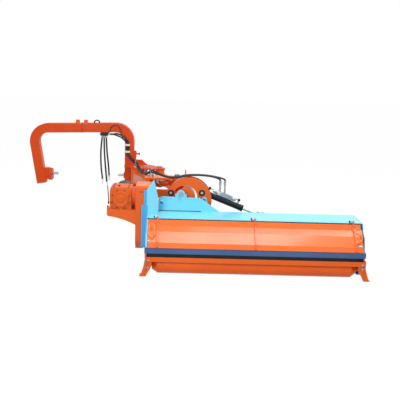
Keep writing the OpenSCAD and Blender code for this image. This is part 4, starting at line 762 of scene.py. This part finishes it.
# gearbox casting
casting = dict(mid=np.array([-755.0, 60.0, 627.0]), half=np.array([98.0, 120.0, 102.0]))
castingLid = dict(half=(86.0, 108.0), power=7,
                  profile=[(0.97, -2), (1.0, 0), (1.0, 2.4), (0.965, 4), (0.5, 4.6), (0.1, 5)])
wallRib = dict(y=(-70.0, 0.0, 70.0), drop=-6.0, half=(7.0, 84.0), power=5,
               profile=[(1.25, -1), (1.1, 3), (0.9, 9), (0.6, 10.5)])
coverFace = dict(thick=20.0, sides=64,
                 profile=[(-1, 74), (3, 73), (6, 70), (6, 61), (3, 58), (2, 36), (3, 30), (8, 27), (10, 24),
                          (10, 4)])
lidBolt = dict(spots=[(-70, -92), (70, -92), (-70, 92), (70, 92), (-70, 0), (70, 0)], high=4.0, radius=6.5)
fillerPlug = dict(spot=(-22, -46, 5), radius=9.0)


def makeCasting(c):
    mid, half = c["mid"], c["half"]
    top = mid + (0, 0, half[2])
    parts = [pressedPad("lid", lay(top), (1, 0, 0), (0, 1, 0), castingLid["half"], castingLid["profile"],
                        castOrange, castingLid["power"])]
    for y in wallRib["y"]:  # upright ribs on the left wall
        at = lay(mid + (-half[0], y, wallRib["drop"]))
        parts.append(pressedPad("wallRib", at, (0, -1, 0), (0, 0, 1), wallRib["half"], wallRib["profile"],
                                castOrange, wallRib["power"]))
    face = mid - (0, half[1] + coverFace["thick"], 0)  # rings pressed into the round cover
    parts.append(turnedPiece("coverFace", coverFace["profile"], lay(face), (0, -1, 0), castOrange,
                             sides=coverFace["sides"]))
    put(joined("gearboxCasting", parts), "deck", "orange_paint")
    up = (0, 0, 1)
    bolts = [hexBolt("lidBolt", lay(top + (x, y, lidBolt["high"])), up, lidBolt["radius"], darkSteel)
             for x, y in lidBolt["spots"]]
    bolts.append(hexBolt("fillerPlug", lay(top + fillerPlug["spot"]), up, fillerPlug["radius"], darkSteel))
    put(joined("gearboxPlugs", bolts), "deck", "steel")


makeCasting(casting)
print("gearbox casting made")

# welds, seams, painted shade marks and bolts; a point of the hood's line is (Y, Z)
hoodLine = np.array([(-223, 476), (-251, 425), (-311, 384), (-392, 302), (-417, 259)], float)
hoodRibs = dict(x=(-400.0, 490.0, 1399.0), reach=7.0, skin=2.0, bead=0.0032)
deckWelds = dict(z=487.5, bead=0.004, first=(0, 1, 0.3),
                 runs=[((4, 104), (183, 104)), ((-408, 116), (183, 116)), ((-500, -95), (-406, -95))])
plinthGapShade = dict(ends=[(-404, 104, 489.1), (2, 104, 489.1)], points=30, radius=0.0032, sides=10,
                  first=(0, 1, 0.2))
coverSlitShade = dict(at=(-565.5, -82, 700.5), half=(20.5, 2.6), power=3,
                 profile=[(1, -0.2), (1, 0.5), (0.8, 0.9), (0.05, 1)])
archSeam = dict(x=-1293.5, y=(1149.4, 1250.6), z=(1108.6, 1209.8), bead=0.0026)
hoodBolts = dict(spots=[(-474.5, -386, 308.1), (1405, -350, 344.5), (1441, -386, 308.1)], knot=2, lift=0.002,
                 radius=8.5)
hingeBolts = dict(aside=-29.2, y=-215.0, z=500.0, radius=8.5)
sideEdge = dict(x=(-501.7, -489.2), under=(1.0, 7.0), stop=0.96, sharp=20)


def hoodNormals():
    heading = unit(np.diff(hoodLine, axis=0))
    lean = np.stack([heading[:, 1], -heading[:, 0]], 1)
    return unit(np.vstack([lean[:1], (lean[1:] + lean[:-1]) / 2, lean[-1:]]))


def makeRibWelds(r):
    skin = hoodLine + hoodNormals() * r["skin"]
    beads = []
    for rib in r["x"]:
        for way in (-1, 1):
            line = np.column_stack([np.full(len(skin), rib + way * r["reach"]), skin])
            beads.append(weldBead("ribBead", lay(line), r["bead"], hoodOrange, (1, 0, 0)))
    put(joined("ribWelds", beads), "hood", "orange_paint")


def makeDeckWelds(w):
    beads = []
    for run in w["runs"]:
        line = lay([(x, y, w["z"]) for x, y in run])
        beads.append(weldBead("deckBead", line, w["bead"], blueHighlitPaint, w["first"]))
    put(joined("deckWelds", beads), "deck", "blue_paint")


def makeSeamsAndShadeMarks():
    # a dark tube along the plinth's foot: painted shade of the gap under the plinth's plate
    path = lay(np.linspace(*plinthGapShade["ends"], plinthGapShade["points"]))
    gapShade = hoseTube("plinthGapShade", path, plinthGapShade["radius"], blackRubberAndShade, sides=plinthGapShade["sides"],
                    first=plinthGapShade["first"])
    put(gapShade, "deck", "black_rubber")
    # a thin black pad on the belt cover: painted shade standing in for a slit
    slitShade = pressedPad("coverSlitShade", lay(coverSlitShade["at"]), (1, 0, 0), (0, 0, 1), coverSlitShade["half"],
                      coverSlitShade["profile"], blackRubberAndShade, coverSlitShade["power"])
    put(slitShade, "deck", "black_rubber")
    x, (y0, y1), (z0, z1) = archSeam["x"], archSeam["y"], archSeam["z"]
    ring = lay([(x, y0, z0), (x, y0, z1), (x, y1, z1), (x, y1, z0)])
    bead = weldBead("archSeam", ring, archSeam["bead"], darkSeamTone, (1, 0, 0), closed=True)
    put(bead, "headstock", "orange_paint")


def makeBolts(b, h):
    out = np.array([0, *hoodNormals()[b["knot"]]])
    bolts = [hexBolt("hoodBolt", lay(at) + out * b["lift"], out, b["radius"], zincSteel) for at in b["spots"]]
    put(joined("hoodBolts", bolts), "hood", "steel")
    spots = [(rib + h["aside"], h["y"], h["z"]) for rib in hoodRibs["x"]]
    hinge = [hexBolt("hingeBolt", lay(at), (-1, 0, 0), h["radius"], blackPaint) for at in spots]
    put(joined("hingeBolts", hinge), "deck", "black_paint")


def makeSideEdge(e):
    # the left side plate's folded edge beside the hood: a flat section carried down the hood's line
    line = hoodLine.copy()
    line[-1] = line[-2] + e["stop"] * (line[-1] - line[-2])
    heading = unit(np.gradient(line, axis=0))
    inward = np.stack([-heading[:, 1], heading[:, 0]], 1)
    inward *= np.sign(inward[:, :1])
    near, deep = (line + inward * depth for depth in e["under"])
    x0, x1 = e["x"]
    corners = ((x0, near), (x1, near), (x1, deep), (x0, deep))
    section = np.stack([np.column_stack([np.full(len(line), x), rim]) for x, rim in corners], 1)
    edge = gridObject("sideEdge", lay(section), blueHighlitPaint, closeV=True, capU=True, sharp=e["sharp"])
    put(edge, "deck", "blue_paint")


makeRibWelds(hoodRibs)
makeDeckWelds(deckWelds)
makeSeamsAndShadeMarks()
makeBolts(hoodBolts, hingeBolts)
makeSideEdge(sideEdge)
print("welds and bolts made")

# finishes of the solids that show, zinc where none is named
solidFinish = {
    archOrangeShaded: ["hitch_arch", "top_link_lugs", "lower_link_brackets", "pivot_bracket"],
    orangePaint: ["left_link", "right_link", "knuckle", "tilt_head", "belt_cover", "gearbox_bracket",
                  "roller_brackets", "scraper_bar"],
    hoodOrange: ["hood"],
    loopOrangeHighlit: ["hood_fittings"],
    castOrange: ["gearbox_housing", "gearbox_cover"],
    rollerOrange: ["roller"],
    # the three blues are copies of one paint: painted highlight on the deck and plinth, painted shade on the
    # beam
    blueHighlitPaint: ["deck_shell", "pivot_plinth"],
    sideBlueMidLit: ["left_side_plate", "right_side_plate", "skids"],
    beamBlueShaded: ["rear_beam"],
    blackPaint: ["tilt_barrel", "shift_barrel", "hose_hanger"],
    whitePlastic: ["hose_clamps"],
    blackRubberAndShade: ["drive_belt"],
    darkSteel: ["rotor", "flails", "drive_pulley", "flap_rod", "gearbox_bolts", "stop_bolt"],
    chrome: ["tilt_rod", "shift_rod"],
}


def finishSolids():
    chosen = {name: finish for finish, names in solidFinish.items() for name in names}
    for name, solid in frame["nodes"].items():
        solid.data.materials.clear()
        solid.data.materials.append(chosen.get(name, zincSteel))


finishSolids()
print("solids finished")

# floor, sky and lamps; a lamp is its place, aim, size and power
white = (1, 1, 1, 1)
paleFloor = dict(size=60.0, below=0.0008, grey=(0.55, 0.55, 0.55, 1), glowShare=0.95, glowLevel=1.03)
sky = dict(fill=0.46, seen=1.0)
lamps = {
    "hoodStrip": ((1.2, -1.75, 5.0), (0.6, -0.8, 0.4), (4.8, 1.2), 120.0),
    "topPanel": ((1.0, 0.5, 5.0), (0.3, 0.0, 0.3), (4.8, 2.0), 70.0),
    "frontFill": ((-1.5, -5.5, 2.2), (0.0, 0.0, 0.6), (2.6, 2.0), 105.0),
    "backPanel": ((2.8, 3.2, 3.6), (0, 0.1, 0.5), (2.4, 2.4), 26.0),
}


def backdropSeen(tree):  # 1 for rays that show the background: straight, mirrored or passed through
    path = wire(tree, "ShaderNodeLightPath").outputs
    mirrored = maths(tree, "MAXIMUM", path["Is Glossy Ray"], path["Is Transmission Ray"])
    return maths(tree, "MAXIMUM", path["Is Camera Ray"], mirrored)


def makeFloor(f):
    material = bpy.data.materials.new("paleFloor")
    material.use_nodes = True
    tree = material.node_tree
    tree.nodes.remove(tree.nodes["Principled BSDF"])
    matte = wire(tree, "ShaderNodeBsdfDiffuse", {"Color": f["grey"]})
    glow = wire(tree, "ShaderNodeEmission", {"Color": white, "Strength": f["glowLevel"]})
    share = maths(tree, "MULTIPLY", backdropSeen(tree), f["glowShare"])
    mixed = wire(tree, "ShaderNodeMixShader", {0: share, 1: matte.outputs[0], 2: glow.outputs[0]})
    tree.links.new(mixed.outputs[0], tree.nodes["Material Output"].inputs["Surface"])
    ends = np.array([-0.5, 0.5]) * f["size"]
    grid = np.stack(np.meshgrid(ends, ends, [-f["below"]], indexing="ij"), -1).reshape(2, 2, 3)
    gridObject("floor", grid, material)


def makeSky(s):
    world = bpy.data.worlds.new("studioSky")
    bpy.context.scene.world = world
    world.use_nodes = True
    tree = world.node_tree
    background = tree.nodes["Background"].inputs
    background["Color"].default_value = white
    level = spread(tree, backdropSeen(tree), 0, 1, s["fill"], s["seen"])
    tree.links.new(level, background["Strength"])


def makeLamp(name, at, aim, size, power):
    data = bpy.data.lights.new(name, "AREA")
    data.shape = "RECTANGLE"
    data.energy = power
    data.size, data.size_y = size
    lamp = bpy.data.objects.new(name, data)
    bpy.context.scene.collection.objects.link(lamp)
    back = unit(np.array(at) - np.array(aim))
    side = unit(np.cross((0, 0, 1), back))
    standAt(lamp, side, np.cross(back, side), back, at)


makeFloor(paleFloor)
makeSky(sky)
for lampName, lampPlan in lamps.items():
    makeLamp(lampName, *lampPlan)
print("studio set")
